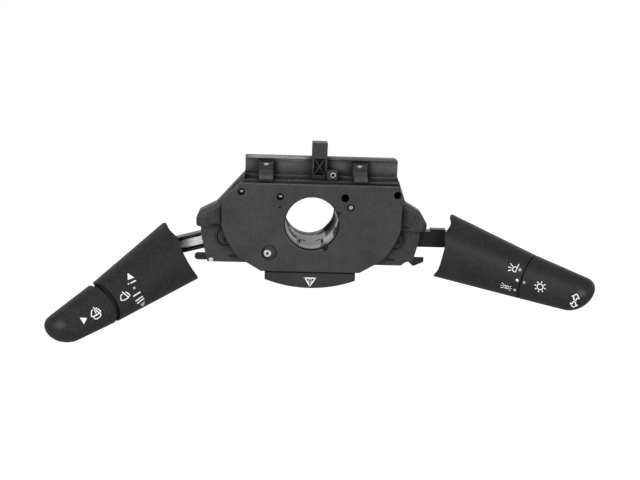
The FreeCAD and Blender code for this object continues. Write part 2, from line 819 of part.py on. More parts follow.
def make_front_plate():
    """The flat front plate with its recesses, holes and chamfered front edge."""
    body = new_body("front_plate")
    hole = column_radius + plate_hole_gap
    pad(body, "sheet", [plate_corners(0), (0, 0, hole)], front, plate_rear)
    soften_edges(body, "front_edge", "Chamfer", edge_chamfer, lies_at_depth(front))
    notch = (hole * cosine(plate_notch_angle), hole * sine(plate_notch_angle), plate_notch_radius)
    pocket(body, "hole_notch", [notch], front, plate_rear)
    recesses = [(-x, z, recess_radius) for x, z in screw_places()]
    recesses.append((pin_out, pin_height, recess_radius))
    recesses.append((-rivet_recess_out, -rivet_recess_drop, rivet_recess_radius))
    recesses.append((-inner_fixing_out, witness_height, witness_radius))
    pocket(body, "recesses", recesses, front, front + recess_depth)
    through = [(-x, z, screw_shank_radius) for x, z in screw_places()]
    through.append((pin_out, pin_height, pin_radius))
    through.append((-rivet_out, -rivet_drop, rivet_radius))
    through.append((inner_fixing_out, inner_fixing_height, inner_fixing_radius))
    through.append((outer_fixing_out, outer_fixing_height, outer_fixing_radius))
    pocket(body, "through_holes", through, front + recess_depth, plate_rear)
    clear = [(inner_fixing_out, inner_fixing_height, inner_fixing_radius),
             (outer_fixing_out, outer_fixing_height, outer_fixing_radius)]
    pocket(body, "fixing_mouths", clear, front, front + recess_depth)
    return body


def make_plate_fasteners():
    """Two plate screws, the locating pin and the hollow earth rivet."""
    screws = []
    for number, (out, height) in enumerate(screw_places()):
        seat = front + recess_depth
        head = rod(f"screw_head_{number}", ALONG_Y, -out, seat - screw_head_height, height,
                   screw_head_radius, screw_head_height)
        shank = rod(f"screw_shank_{number}", ALONG_Y, -out, seat, height,
                    screw_shank_radius, screw_length)
        screws.append(fuse(f"plate_screw_{number}", head, shank))
    finish("plate_screws", group("plate_screw_pair", *screws))
    finish("locating_pin", rod("pin", ALONG_Y, pin_out, front + pin_set_back, pin_height,
                               pin_radius, pin_length - pin_set_back))
    barrel = rod("rivet_barrel", ALONG_Y, -rivet_out, front + rivet_set_back, -rivet_drop,
                 rivet_radius, rivet_length - rivet_set_back)
    flange = rod("rivet_flange", ALONG_Y, -rivet_out, front + recess_depth - rivet_flange, -rivet_drop,
                 rivet_radius + rivet_flange, rivet_flange)
    eye = rod("rivet_eye", ALONG_Y, -rivet_out, front, -rivet_drop, rivet_eye_radius, rivet_length)
    finish("earth_rivet", cut("rivet", fuse("rivet_blank", barrel, flange), eye))


def make_cancel_ring():
    """The ring that turns with the steering wheel, with two lobes, slots and a cut tongue."""
    body = new_body("cancel_ring")
    ring_front = plate_rear + fit_gap
    ring_rear = -bore_length - fit_gap
    pad(body, "tube", [(0, 0, ring_outer), (0, 0, ring_inner)], ring_front, ring_rear)
    for name, angle in (("first", first_lobe_angle), ("second", second_lobe_angle)):
        root = (ring_inner + ring_outer) / 2
        corners = [(root, -lobe_half_width), (lobe_radius, -lobe_half_width),
                   (lobe_radius, lobe_half_width), (root, lobe_half_width)]
        turned = [(out * cosine(angle) - wide * sine(angle), out * sine(angle) + wide * cosine(angle))
                  for out, wide in corners]
        pad(body, name + "_lobe", [turned], lobe_front, lobe_front + lobe_depth)
    inner = ring_inner - past
    outer = ring_outer + past
    slot_front = ring_front + slot_set_back
    for name, first, last in (("left", left_slot_start, left_slot_end),
                              ("right", right_slot_start, right_slot_end)):
        pocket(body, name + "_slot", [ring_sector(first, last, inner, outer)], slot_front,
               slot_front + slot_width)
    tongue_rear = ring_front + tongue_length
    corner = tongue_corner_angle
    width = 4 * tongue_gap
    for name, edge, way in (("left", tongue_start_angle, 1), ("right", tongue_end_angle, -1)):
        far = sorted((edge, edge + way * corner), key=float)
        near = sorted((edge, edge + way * width), key=float)
        pocket(body, name + "_tongue_end", [ring_sector(*far, inner, outer)],
               tongue_rear, tongue_rear + tongue_gap)
        pocket(body, name + "_tongue_side", [ring_sector(*near, inner, outer)],
               tongue_rear - tongue_length / 2, tongue_rear + tongue_gap)
    return body


def make_pawl():
    """The sliding pawl that the ring's lobes push to cancel the indicators."""
    body = new_body("cancel_pawl")
    middle = -pawl_drop
    tip = lobe_radius + pawl_clearance + pawl_travel
    tail = pivot_out - cradle_half_length - pawl_tail_gap
    low = middle - pawl_height / 2
    high = middle + pawl_height / 2
    pad(body, "slider", [[(tip, middle), (tip + pawl_nose, low), (tail, low), (tail, high),
                          (tip + pawl_nose, high)]],
        pawl_front(), pawl_front() + pawl_thickness)
    spring = block("pawl_leaf", (tail + fit_gap, tail + fit_gap + pawl_spring_thickness),
                   (case_front + case_wall, pawl_front() + pawl_thickness),
                   (low, case_top - case_wall))
    finish("pawl_spring", spring)


def make_rail():
    """The folded rail along the top, with a lip, a web and a ledge."""
    body = new_body("top_rail")
    face = -rail_front
    web = rail_rear - rail_lip
    ledge_front = face - ledge_reach
    profile = [(ledge_front, rail_base), (rail_rear, rail_base), (rail_rear, rail_top),
               (face, rail_top), (face, rail_top - rail_lip), (web, rail_top - rail_lip),
               (web, rail_base + rail_ledge), (ledge_front, rail_base + rail_ledge)]
    pad(body, "channel", [profile], -rail_left, rail_right, SIDE)
    corner = [(rail_right, rail_top - rail_corner), (rail_right + past, rail_top - rail_corner),
              (rail_right + past, rail_top + past), (rail_right - rail_corner, rail_top + past),
              (rail_right - rail_corner, rail_top)]
    pocket(body, "corner", [corner], ledge_front - past, rail_rear + past)
    return body


def make_clips():
    """Two clips that hook over the rail's ledge, each with a beaded tongue."""
    clips = []
    low = rail_base + rail_ledge
    rear = rail_rear - rail_lip
    for name, middle in (("left", -left_clip_out), ("right", sized(right_clip_out))):
        half = clip_width / 2
        plate = block(name + "_clip_plate", (middle - half, middle + half),
                      (-rail_front - clip_proud, rear), (low, low + clip_height))
        window = block(name + "_clip_window", (middle - half + clip_side, middle + half - clip_side),
                       (-rail_front - clip_proud - past, rear - clip_back),
                       (low + clip_edge, low + clip_height - clip_edge))
        tongue = block(name + "_clip_tongue", (middle - clip_tongue / 2, middle + clip_tongue / 2),
                       (-rail_front - tongue_proud, rear - clip_back),
                       (low, low + clip_height - tongue_drop))
        bead = rod(name + "_clip_bead", ALONG_X, middle - clip_tongue / 2, -rail_front - bead_proud,
                   low + clip_height - tongue_drop, clip_bead, clip_tongue)
        frame_part = cut(name + "_clip_frame", plate, window)
        clips.append(fuse(name + "_clip", frame_part, tongue, bead))
    finish("rail_clips", group("rail_clip_pair", *clips))


def make_post():
    """The upright post in front of the rail, with a window crossed by two thin ribs."""
    left = -post_left
    right = post_width - post_left
    rear = -rail_front
    face = rear - post_depth
    low = wing_top
    column = block("post_column", (left, right), (face, rear), (low, post_height))
    head = block("post_head", (left, right), (rear - post_seat, rail_rear), (rail_top, post_height))
    window_low = low + post_window_low
    window_high = low + post_window_high
    window = block("post_window", (left + post_frame, right - post_frame), (face - past, rear - post_back),
                   (window_low, window_high))
    notch = block("post_notch", (left - past, right + past), (rear - ledge_reach, rear + past),
                  (low - past, low + rail_ledge))
    shell = cut("post_shell", fuse("post_blank", column, head), window, notch)
    width = float(post_width - 2 * post_frame)
    height = float(window_high - window_low)
    lean = math.degrees(math.atan2(width, height))
    span = math.hypot(width, height) + float(rib_overlap)
    middle_x = (left + right) / 2
    middle_z = (window_low + window_high) / 2
    ribs = []
    for name, angle in (("rising", lean), ("falling", -lean)):
        rib = doc.addObject("Part::Feature", f"post_rib_{name}")
        rib.Shape = Part.makeBox(float(post_rib), float(post_depth - post_back - rib_set_in), span,
                                 Vector(-float(post_rib) / 2, 0, -span / 2))
        rib.setExpression("Placement", frame(middle_x, face + rib_set_in, middle_z, ((0, 1, 0), angle)).text)
        ribs.append(rib)
    finish("rail_post", fuse("post", shell, *ribs))


def make_insert():
    """The small block beside the post, with its threaded metal insert."""
    left = post_width - post_left
    right = left + insert_width
    rear = -rail_front - 2
    face = rear - insert_depth + 2
    middle_x = (left + right) / 2 + insert_shift
    middle_z = wing_top + insert_height - insert_drop
    body = block("insert_body", (left, right), (face, rear), (wing_top, wing_top + insert_height))
    bore = rod("insert_bore", ALONG_Y, middle_x, face - past, middle_z, insert_radius, insert_length)
    finish("insert_block", cut("insert_holder", body, bore))
    sleeve = rod("insert_sleeve", ALONG_Y, middle_x, face - insert_proud, middle_z, insert_radius,
                 insert_length - past + insert_proud)
    thread = rod("insert_thread", ALONG_Y, middle_x, face - past, middle_z, insert_thread_radius,
                 insert_length + past)
    finish("threaded_insert", cut("insert_bush", sleeve, thread))


def hazard_corners(inset):
    """The hazard button's outline: straight top, short sides and a bowed underside."""
    half = hazard_half - inset
    top = -plate_foot_drop - hazard_top_gap - inset
    side = inset - hazard_side_drop
    bow = (hazard_half * hazard_half + hazard_sag * hazard_sag) / (2 * hazard_sag) - inset
    return [(-half, side, bow), (half, side), (half, top), (-half, top)]


def make_hazard():
    """The hazard button, the switch behind it, its spring and its terminals."""
    face = -hazard_front
    rear = face + hazard_depth
    case_face = rear + hazard_travel + hazard_end_gap
    case_back = case_face + hazard_case_depth
    stem_x = (-stem_half, stem_half)
    stem_z = (-stem_drop - stem_height / 2, stem_height / 2 - stem_drop)
    body = new_body("hazard_button")
    pad(body, "button", [hazard_corners(0)], face, rear)
    soften_edges(body, "button_edge", "Chamfer", edge_chamfer, lies_at_depth(face))
    pocket(body, "button_hollow", [hazard_corners(hazard_wall)], face + hazard_wall, rear)
    pad(body, "stem", [box_corners(stem_x, stem_z)], face + hazard_wall / 2, case_face + stem_reach)
    housing = new_body("hazard_housing")
    base = plate_reveal - plate_foot_drop
    low = -hazard_case_drop
    half = hazard_case_half
    pad(housing, "shell", [box_corners((-half, half), (low, base))], case_face, case_back)
    pocket(housing, "room", [box_corners((wall - half, half - wall), (low + wall, base - wall))],
           case_face + wall, case_back - wall)
    gap = fit_gap
    pocket(housing, "stem_hole", [box_corners((stem_x[0] - gap, stem_x[1] + gap),
                                              (stem_z[0] - gap, stem_z[1] + gap))],
           case_face, case_face + wall)
    socket_x = (-hazard_socket_half, hazard_socket_half)
    pad(housing, "socket", [box_corners(socket_x, (low, base))], case_back,
        case_back + hazard_socket_depth)
    inner_x = (socket_wall - hazard_socket_half, hazard_socket_half - socket_wall)
    pocket(housing, "socket_room", [box_corners(inner_x, (low + socket_wall, base - socket_wall))],
           case_back, case_back + hazard_socket_depth)
    blades = blade_slots(0, -stem_drop, 3)
    pocket(housing, "blade_slots", blades, case_back - wall, case_back)
    terminals = new_body("hazard_terminals")
    bridge_front = case_back - wall - blade_root - bridge_root
    tail = case_back + hazard_socket_depth - blade_recess
    pad(terminals, "blade_0", [blades[0]], case_back - wall - blade_root, tail)
    spread = [blades[1], blades[2]]
    cross = box_corners((-blade_pitch - blade_width / 2, blade_pitch + blade_width / 2),
                        (-stem_drop - blade_thickness / 2, blade_thickness / 2 - stem_drop))
    pad(terminals, "blade_bridge", [cross], bridge_front, case_back - wall - blade_root)
    pad(terminals, "other_blades", spread, case_back - wall - blade_root, tail)
    spring_front = case_face + stem_reach + spring_end_gap
    coil("hazard_spring", frame(0, spring_front, -stem_drop, ALONG_Y), hazard_spring_radius,
         hazard_turns, bridge_front - spring_end_gap - spring_front)


def blade_slots(middle, height, count):
    """A row of flat blades side by side, as outlines."""
    outlines = []
    for step in range(count):
        centre = sized(middle) + blade_pitch * (step - (count - 1) / 2)
        outlines.append(box_corners((centre - blade_width / 2, centre + blade_width / 2),
                                    (height - blade_thickness / 2, height + blade_thickness / 2)))
    return outlines


def coil(label, place, radius, turns, length):
    """A coil spring: square sections carried round a helix, eight to a turn."""
    half = float(spring_wire)
    middle = float(radius)
    way = math.copysign(1, float(length))
    run = float(length) - 2 * way * half
    steps = 8 * turns
    sections = []
    for step in range(steps + 1):
        angle = 2 * math.pi * turns * step / steps
        along = way * half + run * step / steps
        ends = [(middle - half, along - half), (middle + half, along - half),
                (middle + half, along + half), (middle - half, along + half)]
        corners = [Vector(out * math.cos(angle), out * math.sin(angle), up) for out, up in ends]
        sections.append(Part.makePolygon(corners + corners[:1]))
    spring = doc.addObject("Part::Feature", label + "_wire")
    spring.Shape = Part.makeLoft(sections, True, True)
    return finish(label, spring, place)


def case_wall_at(drop):
    """How far out the slanting wall of the case is at a height below the column."""
    share = (case_drop - drop) / (case_drop - case_heel_drop)
    return case_toe_out + (case_out - case_toe_out) * share


def case_corners(side, inset):
    """The outline of a switch case as on the right, moved in by a wall."""
    foot = inset - case_drop
    toe = [(case_toe_out - inset, foot)]
    if side == RIGHT:
        cut_out = corner_cut_out - 0.4 * inset
        cut_drop = case_drop - corner_cut_height
        toe = [(cut_out, foot), (cut_out + corner_cut_width, inset - cut_drop),
               (case_wall_at(cut_drop) - inset, inset - cut_drop)]
    return [
        (case_inner + inset, foot),
        *toe,
        (case_out - inset, -case_heel_drop),
        (case_out - inset, case_top - inset),
        (case_inner + inset, case_top - inset),
    ]


def cover_screw_places():
    """Where two screws hold the rear cover, outward and upward."""
    inset = case_wall + cover_boss_radius - boss_overlap
    return [(case_out - inset, case_top - inset), (case_inner + inset, inset - case_drop)]


def make_case(side):
    """One switch case with its pivot boss, arm slot and screw bosses."""
    name = side_name[side]
    body = new_body(name + "_switch_case")
    pivot = (side * pivot_out, -pivot_drop)
    room_front = case_front + case_wall
    pad(body, "shell", [on_side(side, case_corners(side, 0))], case_front, case_rear)
    pocket(body, "room", [on_side(side, case_corners(side, case_wall))], room_front, case_rear)
    pad(body, "pivot_boss", [(*pivot, boss_radius)], case_front - boss_height, case_front)
    pocket(body, "trunnion_hole", [(*pivot, trunnion_radius + running_gap)],
           case_front - boss_height + boss_skin, room_front)
    pocket(body, "pivot_groove", [(*pivot, groove_outer), (*pivot, groove_inner)],
           case_front - boss_height, case_front)
    slot_z = {LEFT: (-pivot_drop - left_slot_low, left_slot_high - pivot_drop),
              RIGHT: (-pivot_drop - right_slot_low, right_slot_high - pivot_drop)}
    slot_x = across(side, case_toe_out - case_wall - slot_side, case_out + past)
    pocket(body, "arm_slot", [box_corners(slot_x, slot_z[side])], room_front + 1, case_rear)
    places = [(side * x, z) for x, z in cover_screw_places()]
    for number, place in enumerate(places):
        pad(body, f"boss_{number}", [(*place, cover_boss_radius)], room_front, case_rear)
    pocket(body, "screw_holes", [(*place, cover_screw_radius) for place in places],
           room_front + screw_skin, case_rear)
    if side == RIGHT:
        low = -pawl_drop - pawl_height / 2 - fit_gap
        pawl_slot = box_corners((case_inner, case_inner + case_wall),
                                (low, low + pawl_height + 2 * fit_gap))
        pocket(body, "pawl_slot", [pawl_slot], pawl_front() - fit_gap,
               pawl_front() + pawl_thickness + fit_gap)
    return body


def socket_middle():
    return socket_inner + socket_width / 2


def blade_height():
    return socket_height / 2 - socket_low


def make_cover(side):
    """The rear cover of a switch case, with its connector socket."""
    body = new_body(side_name[side] + "_switch_cover")
    pivot = (side * pivot_out, -pivot_drop)
    boss_back = cover_rear + boss_height
    pad(body, "sheet", [on_side(side, case_corners(side, 0))], case_rear, cover_rear)
    pad(body, "pivot_boss", [(*pivot, boss_radius)], cover_rear, boss_back)
    pocket(body, "trunnion_hole", [(*pivot, trunnion_radius + running_gap)], case_rear,
           boss_back - boss_skin)
    outer_x = across(side, socket_inner, socket_inner + socket_width)
    inner_x = (outer_x[0] + socket_wall, outer_x[1] - socket_wall)
    outer_z = (-socket_low, socket_height - socket_low)
    inner_z = (outer_z[0] + socket_wall, outer_z[1] - socket_wall)
    pad(body, "socket", [box_corners(outer_x, outer_z)], cover_rear, cover_rear + socket_depth)
    pocket(body, "socket_room", [box_corners(inner_x, inner_z)], cover_rear,
           cover_rear + socket_depth)
    pocket(body, "blade_slots", blade_slots(side * socket_middle(), blade_height(), blade_count),
           case_rear, cover_rear)
    holes = [(side * x, z, cover_screw_radius) for x, z in cover_screw_places()]
    pocket(body, "screw_holes", holes, case_rear, cover_rear)
    return body


def make_cover_screws():
    """The screws that hold both rear covers."""
    screws = []
    for side in (LEFT, RIGHT):
        for number, (out, height) in enumerate(cover_screw_places()):
            name = f"{side_name[side]}_cover_screw_{number}"
            start = case_front + case_wall + screw_skin
            shank = rod(name + "_shank", ALONG_Y, side * out, start, height, cover_screw_radius,
                        cover_rear - start)
            head = rod(name + "_head", ALONG_Y, side * out, cover_rear, height, cover_head_radius,
                       cover_head_height)
            screws.append(fuse(name, shank, head))
    finish("cover_screws", group("cover_screw_set", *screws))


def make_terminals(side):
    """Blades through the cover, joined to curved contact strips round the pivot."""
    name = side_name[side]
    body = new_body(name + "_terminals")
    blades = blade_slots(side * socket_middle(), blade_height(), blade_count)
    tail = cover_rear + socket_depth - blade_recess
    strip_outer = contact_radius + contact_thickness
    centre = (side * pivot_out, -pivot_drop)
    low = 270 - contact_half_angle
    high = 270 + contact_half_angle
    strip = ring_sector_round(centre, low, high, contact_radius, strip_outer)
    first = pivot_depth - contact_pitch - contact_width / 2
    top = -pivot_drop - strip_outer
    riser_top = top + contact_thickness / 2
    for number, blade in enumerate((blades[1], blades[2], blades[3])):
        start = first + number * contact_pitch
        pad(body, f"strip_{number}", [strip], start, start + contact_width)
        riser_x = (blade[0][0], blade[1][0])
        riser_z = (blade_height() - blade_thickness / 2, riser_top)
        pad(body, f"riser_{number}", [box_corners(riser_x, riser_z)], start, start + contact_width)
        pad(body, f"blade_{number + 1}", [blade], start, tail)
    shared_front = first + 2 * contact_pitch + contact_width + 1
    span = box_corners((blades[0][0][0], blades[4][1][0]), (blades[0][0][1], blades[0][2][1]))
    pad(body, "outer_blades", [blades[0], blades[4]], shared_front, tail)
    pad(body, "strap", [span], shared_front, shared_front + 1)
    return body


def ring_sector_round(centre, low, high, inner, outer):
    """A thin sector about a point, as an outline with chords."""
    steps = 4
    angles = [low + (high - low) * (step / steps) for step in range(steps + 1)]
    far = [(centre[0] + outer * cosine(a), centre[1] + outer * sine(a)) for a in angles]
    near = [(centre[0] + inner * cosine(a), centre[1] + inner * sine(a)) for a in reversed(angles)]
    return far + near


def make_detent_track(side):
    """The notched block on which the plunger's tip rides."""
    name = side_name[side]
    x = across(side, case_inner + case_wall, pivot_out - track_radius * cosine(27))
    middle = -pivot_drop
    y = (pivot_depth - track_front, pivot_depth + track_rear)
    base = block(name + "_track_block", x, y, (middle - track_half_height, middle + track_half_height))
    sweep = rod(name + "_track_sweep", ALONG_Y, side * pivot_out, pivot_depth - track_front - past,
                middle, track_radius, track_front + track_rear + 2 * past)
    angles = {LEFT: (-12, -6, 0, 6), RIGHT: (-7, 0, 7)}[side]
    notches = []
    for number, angle in enumerate(angles):
        lean = droop[side] - angle
        place_x = side * (pivot_out - (track_radius - notch_set_in) * cosine(lean))
        place_z = middle + (track_radius - notch_set_in) * sine(lean)
        notches.append(rod(f"{name}_notch_{number}", ALONG_Y, place_x,
                           pivot_depth - track_front - past, place_z, notch_radius,
                           track_front + track_rear + 2 * past))
    finish(name + "_detent_track", cut(name + "_track", base, sweep, *notches))


def make_latch(side):
    """The latch on the outer lower corner of a case: a round tab left, a hook right."""
    name = side_name[side]
    body = new_body(name + "_case_latch")
    low = latch_drop + latch_height / 2
    high = latch_drop - latch_height / 2
    if side == LEFT:
        end = latch_reach - latch_height / 2
        corners = [(case_wall_at(low), -low), (end, -low, latch_height / 2 + 0.02), (end, -high),
                   (case_wall_at(high), -high)]
    else:
        foot = case_drop - corner_cut_height
        corners = [(hook_root_out, -foot), (hook_toe_out, -hook_toe_drop),
                   (hook_reach, -hook_end_drop), (hook_reach, -hook_top_drop),
                   (case_wall_at(hook_top_drop), -hook_top_drop), (case_wall_at(foot), -foot)]
    start = case_front + latch_set_back
    pad(body, "tab", [on_side(side, corners)], start, start + latch_depth)
    return body


def make_case_rivet():
    """The bright rivet at the lower outer corner of the left case."""
    finish("case_rivet", rod("left_case_rivet", ALONG_Y, -case_rivet_out,
                             case_front - case_rivet_height, -case_rivet_drop, case_rivet_radius,
                             case_rivet_height))


def arm_frame(side):
    """The frame of an arm at rest: on the pivot and drooping to its own angle."""
    return frame(side * pivot_out, pivot_depth, -pivot_drop, ((0, 1, 0), side * droop[side]))


def mouth_frame(side):
    """The frame of the grip within the arm's frame, centred on its mouth."""
    droops = frame(side * mouth_out, -mouth_front, -mouth_drop, ((0, 1, 0), side * stalk_droop))
    leans = frame(0, 0, 0, ((0, 0, 1), -side * stalk_lean))
    return droops * leans


def make_cradle(side):
    """The cradle with its trunnions, the cross pin and the contact bridge below it."""
    name = side_name[side]
    place = arm_frame(side)
    length = (-cradle_half_length, cradle_half_length)
    depth = (-cradle_half_depth, cradle_half_depth)
    height = (-cradle_half_height, cradle_half_height)
    window_depth = root_half_depth + cradle_swing_gap
    solid = block(name + "_cradle_block", length, depth, height)
    window = block(name + "_cradle_window", (length[0] - 1, length[1] + 1),
                   (-window_depth, window_depth),
                   (cradle_wall - cradle_half_height, cradle_half_height - cradle_wall))
    front_reach = pivot_depth - case_front + boss_height - boss_skin - fit_gap / 2
    back_reach = cover_rear + boss_height - boss_skin - fit_gap - pivot_depth
    front_trunnion = rod(name + "_front_trunnion", ALONG_Y, 0, -front_reach, 0, trunnion_radius,
                         front_reach - cradle_half_depth)
    back_trunnion = rod(name + "_back_trunnion", ALONG_Y, 0, cradle_half_depth, 0, trunnion_radius,
                        back_reach - cradle_half_depth)
    shell = cut(name + "_cradle_shell", solid, window)
    pin_hole = rod(name + "_pin_hole", ALONG_Z, 0, 0, -cradle_half_height, cross_pin_radius,
                   2 * cradle_half_height)
    blank = fuse(name + "_cradle_blank", shell, front_trunnion, back_trunnion)
    finish(name + "_cradle", cut(name + "_cradle_solid", blank, pin_hole), place)
    pin = rod(name + "_pin_rod", ALONG_Z, 0, 0, -cradle_half_height, cross_pin_radius,
              2 * cradle_half_height)
    finish(name + "_cross_pin", fuse(name + "_pin_solid", pin, pin_head(name)), place)
    plate = block(name + "_bridge_plate", (-bridge_half_length, bridge_half_length),
                  (-bridge_half_depth, bridge_half_depth),
                  (-cradle_half_height - bridge_thickness, -cradle_half_height))
    fingers = []
    reach = contact_radius - fit_gap
    finger_radius = (reach - cradle_half_height - bridge_thickness / 2) / 2
    for number in range(3):
        start = contact_pitch * (number - 1) - contact_width / 2
        fingers.append(rod(f"{name}_finger_{number}", ALONG_Y, 0, start, finger_radius - reach,
                           finger_radius, contact_width))
    finish(name + "_contact_bridge", fuse(name + "_bridge_solid", plate, *fingers), place)


def pin_head(name):
    """The thin head of the cross pin, on top of the cradle."""
    return rod(name + "_pin_head", ALONG_Z, 0, 0, cradle_half_height, cross_pin_radius + 0.8, 0.6)


def rounded_path(points, radius):
    """A round bar along straight runs with a ball at each bend."""
    runs = []
    for start, end in zip(points, points[1:]):
        way = end - start
        runs.append(Part.makeCylinder(radius, way.Length, start, way))
    balls = [Part.makeSphere(radius, point) for point in points[1:-1]]
    return runs[0].multiFuse(runs[1:] + balls)


def make_arm(side):
    """The metal arm: root in the cradle, flat bar, and a round bar bent into the grip."""
    name = side_name[side]
    place = arm_frame(side)
    root_x = across(side, -root_tail, root_nose)
    root = block(name + "_arm_root", root_x, (-root_half_depth, root_half_depth),
                 (-root_half_height, root_half_height))
    bar = block(name + "_arm_bar", across(side, root_nose - 1, bar_end),
                (-bar_half_depth, bar_half_depth), (-bar_half_height, bar_half_height))
    grip = mouth_frame(side).placement
    tube_end = float(sleeve_length - plug_depth + arm_socket)
    tube_start = float(sleeve_length - plug_depth) * float(tube_start_share)
    path = [Vector(side * (float(bar_end) - 2), 0, 0),
            grip.multVec(Vector(side * tube_start, 0, 0)),
            grip.multVec(Vector(side * tube_end, 0, 0))]
    bent = doc.addObject("Part::Feature", name + "_arm_tube")
    elbow = Part.makeSphere(float(tube_radius), path[0])
    bent.Shape = rounded_path(path, float(tube_radius)).fuse(elbow)
    blank = fuse(name + "_arm_blank", root, bar, bent)
    pin_hole = rod(name + "_arm_pin_hole", ALONG_Z, 0, 0, -root_half_height - 1,
                   cross_pin_radius + running_gap, 2 * root_half_height + 2)
    bore_x = across(side, -root_tail - 1, plunger_bore - root_tail)[0]
    bore = rod(name + "_plunger_bore", ALONG_X, bore_x, 0, 0, plunger_radius + running_gap,
               plunger_bore + 1)
    finish(name + "_arm", cut(name + "_arm_solid", blank, pin_hole, bore), place)
    tip_centre = plunger_radius - plunger_reach
    body_x = across(side, tip_centre, -plunger_tail)
    stem = rod(name + "_plunger_stem", ALONG_X, body_x[0], 0, 0, plunger_radius,
               plunger_reach - plunger_radius - plunger_tail)
    ball = doc.addObject("Part::Sphere", name + "_plunger_ball")
    bind(ball, "Radius", plunger_radius)
    bind(ball, "Placement.Base.x", side * tip_centre)
    finish(name + "_plunger", fuse(name + "_plunger_solid", stem, ball), place)
    spring_length = root_tail - plunger_bore - plunger_tail
    start = across(side, -plunger_tail, plunger_bore - root_tail)[0]
    coil(name + "_plunger_spring", place * frame(start, 0, 0, ALONG_X),
         plunger_radius - spring_wire - 0.1, 3, -spring_length)


def make_duct(side):
    """The black cable duct round the bar, open to the driver on the left stalk only."""
    name = side_name[side]
    x = across(side, duct_start, duct_end)
    inner_x = (x[0] - 1, x[1] + 1)
    outer = block(name + "_duct_block", x, (-duct_front, duct_back),
                  (-duct_half_height, duct_half_height))
    inner_height = duct_half_height - duct_flange
    inner_front = {LEFT: -duct_front - 1, RIGHT: duct_flange / 2 - duct_front}[side]
    room = block(name + "_duct_room", inner_x, (inner_front, bar_half_depth),
                 (-inner_height, inner_height))
    duct = cut(name + "_duct_channel", outer, room)
    if side == RIGHT:
        nub = block(name + "_duct_nub", across(side, duct_end - duct_nub_length, duct_end),
                    (duct_nub_set_in - duct_front, duct_back - duct_nub_set_in),
                    (duct_half_height - duct_nub_set_in, duct_half_height + duct_nub_height))
        duct = fuse(name + "_duct_solid", duct, nub)
    finish(name + "_arm_duct", duct, arm_frame(side))


def section(along, half_height, half_depth, rise, ridge=0.0):
    """One closed section of a grip: a superellipse with a soft ridge on its front.

    The curve is |y / depth| to the power n plus |z / height| to the power n equals one,
    and the ridge adds a bell-shaped rise to the front around its own angle.
    """
    power = 2 / float(section_power)
    points = []
    for step in range(section_points):
        angle = 2 * math.pi * step / section_points
        cos = math.cos(angle)
        sin = math.sin(angle)
        y = -half_depth * math.copysign(abs(cos) ** power, cos)
        z = half_height * math.copysign(abs(sin) ** power, sin)
        away = math.remainder(angle - math.radians(float(ridge_angle)), 2 * math.pi)
        y -= ridge * math.exp(-(away / float(ridge_spread)) ** 2)
        points.append(Vector(along, y, z + rise))
    curve = Part.BSplineCurve()
    curve.interpolate(points, PeriodicFlag=True)
    return Part.Wire(curve.toShape())


def blend(first, last, share):
    """The value a share of the way from one size to another."""
    return float(first) + float(last - first) * share


def sleeve_section(side, along, inset, ridge=0.0):
    """The sleeve's section at a distance from its mouth, moved in by a distance."""
    share = along / float(sleeve_length)
    height = blend(mouth_half_height, joint_half_height, share) - float(inset)
    depth = blend(mouth_half_depth, joint_half_depth, share) - float(inset)
    return section(along, height, depth, float(joint_rise[side]) * share, ridge)


def knob_section(side, along, inset):
    """A knob's section at a distance from its open end, closing on the tip as an ellipse does."""
    straight = float(knob_length - tip_round)
    share = min(along / straight, 1)
    past = max(along - straight, 0) / float(tip_round)
    dome = math.sqrt(max(1 - past ** 2, float(tip_flat) ** 2))
    height = blend(joint_half_height, tip_half_height, share) * dome - float(inset)
    depth = blend(joint_half_depth, tip_half_depth, share) * dome - float(inset)
    start = float(sleeve_length + knob_gap[side])
    return section(start + along, height, depth, blend(joint_rise[side], tip_rise[side], share))


def turned_to(side, shape):
    """A shape drawn outward along +X, mirrored when it belongs to the left."""
    if side == RIGHT:
        return shape
    return shape.mirror(Vector(0, 0, 0), Vector(1, 0, 0))


def make_sleeve(side):
    """The tapering grip sleeve, hollow right through, with a dished mouth."""
    name = side_name[side]
    length = float(sleeve_length)
    outer = []
    inner = []
    for share in (0, 0.35, 0.7, 1):
        ridge = float(ridge_height) * (1 - share) ** 1.5
        outer.append(sleeve_section(side, length * share, 0, ridge))
        inner.append(sleeve_section(side, length * share * 1.04 - 1, grip_wall, ridge))
    blank = Part.makeLoft(outer, True, True).cut(Part.makeLoft(inner, True, True))
    radius = float(mouth_hollow_radius)
    centre = Vector(float(mouth_hollow[side]) - radius, 0, 0)
    shape = blank.cut(Part.makeSphere(radius, centre))
    sleeve = doc.addObject("Part::Feature", name + "_sleeve_shell")
    sleeve.Shape = turned_to(side, shape)
    finish(name + "_sleeve", sleeve, arm_frame(side) * mouth_frame(side))


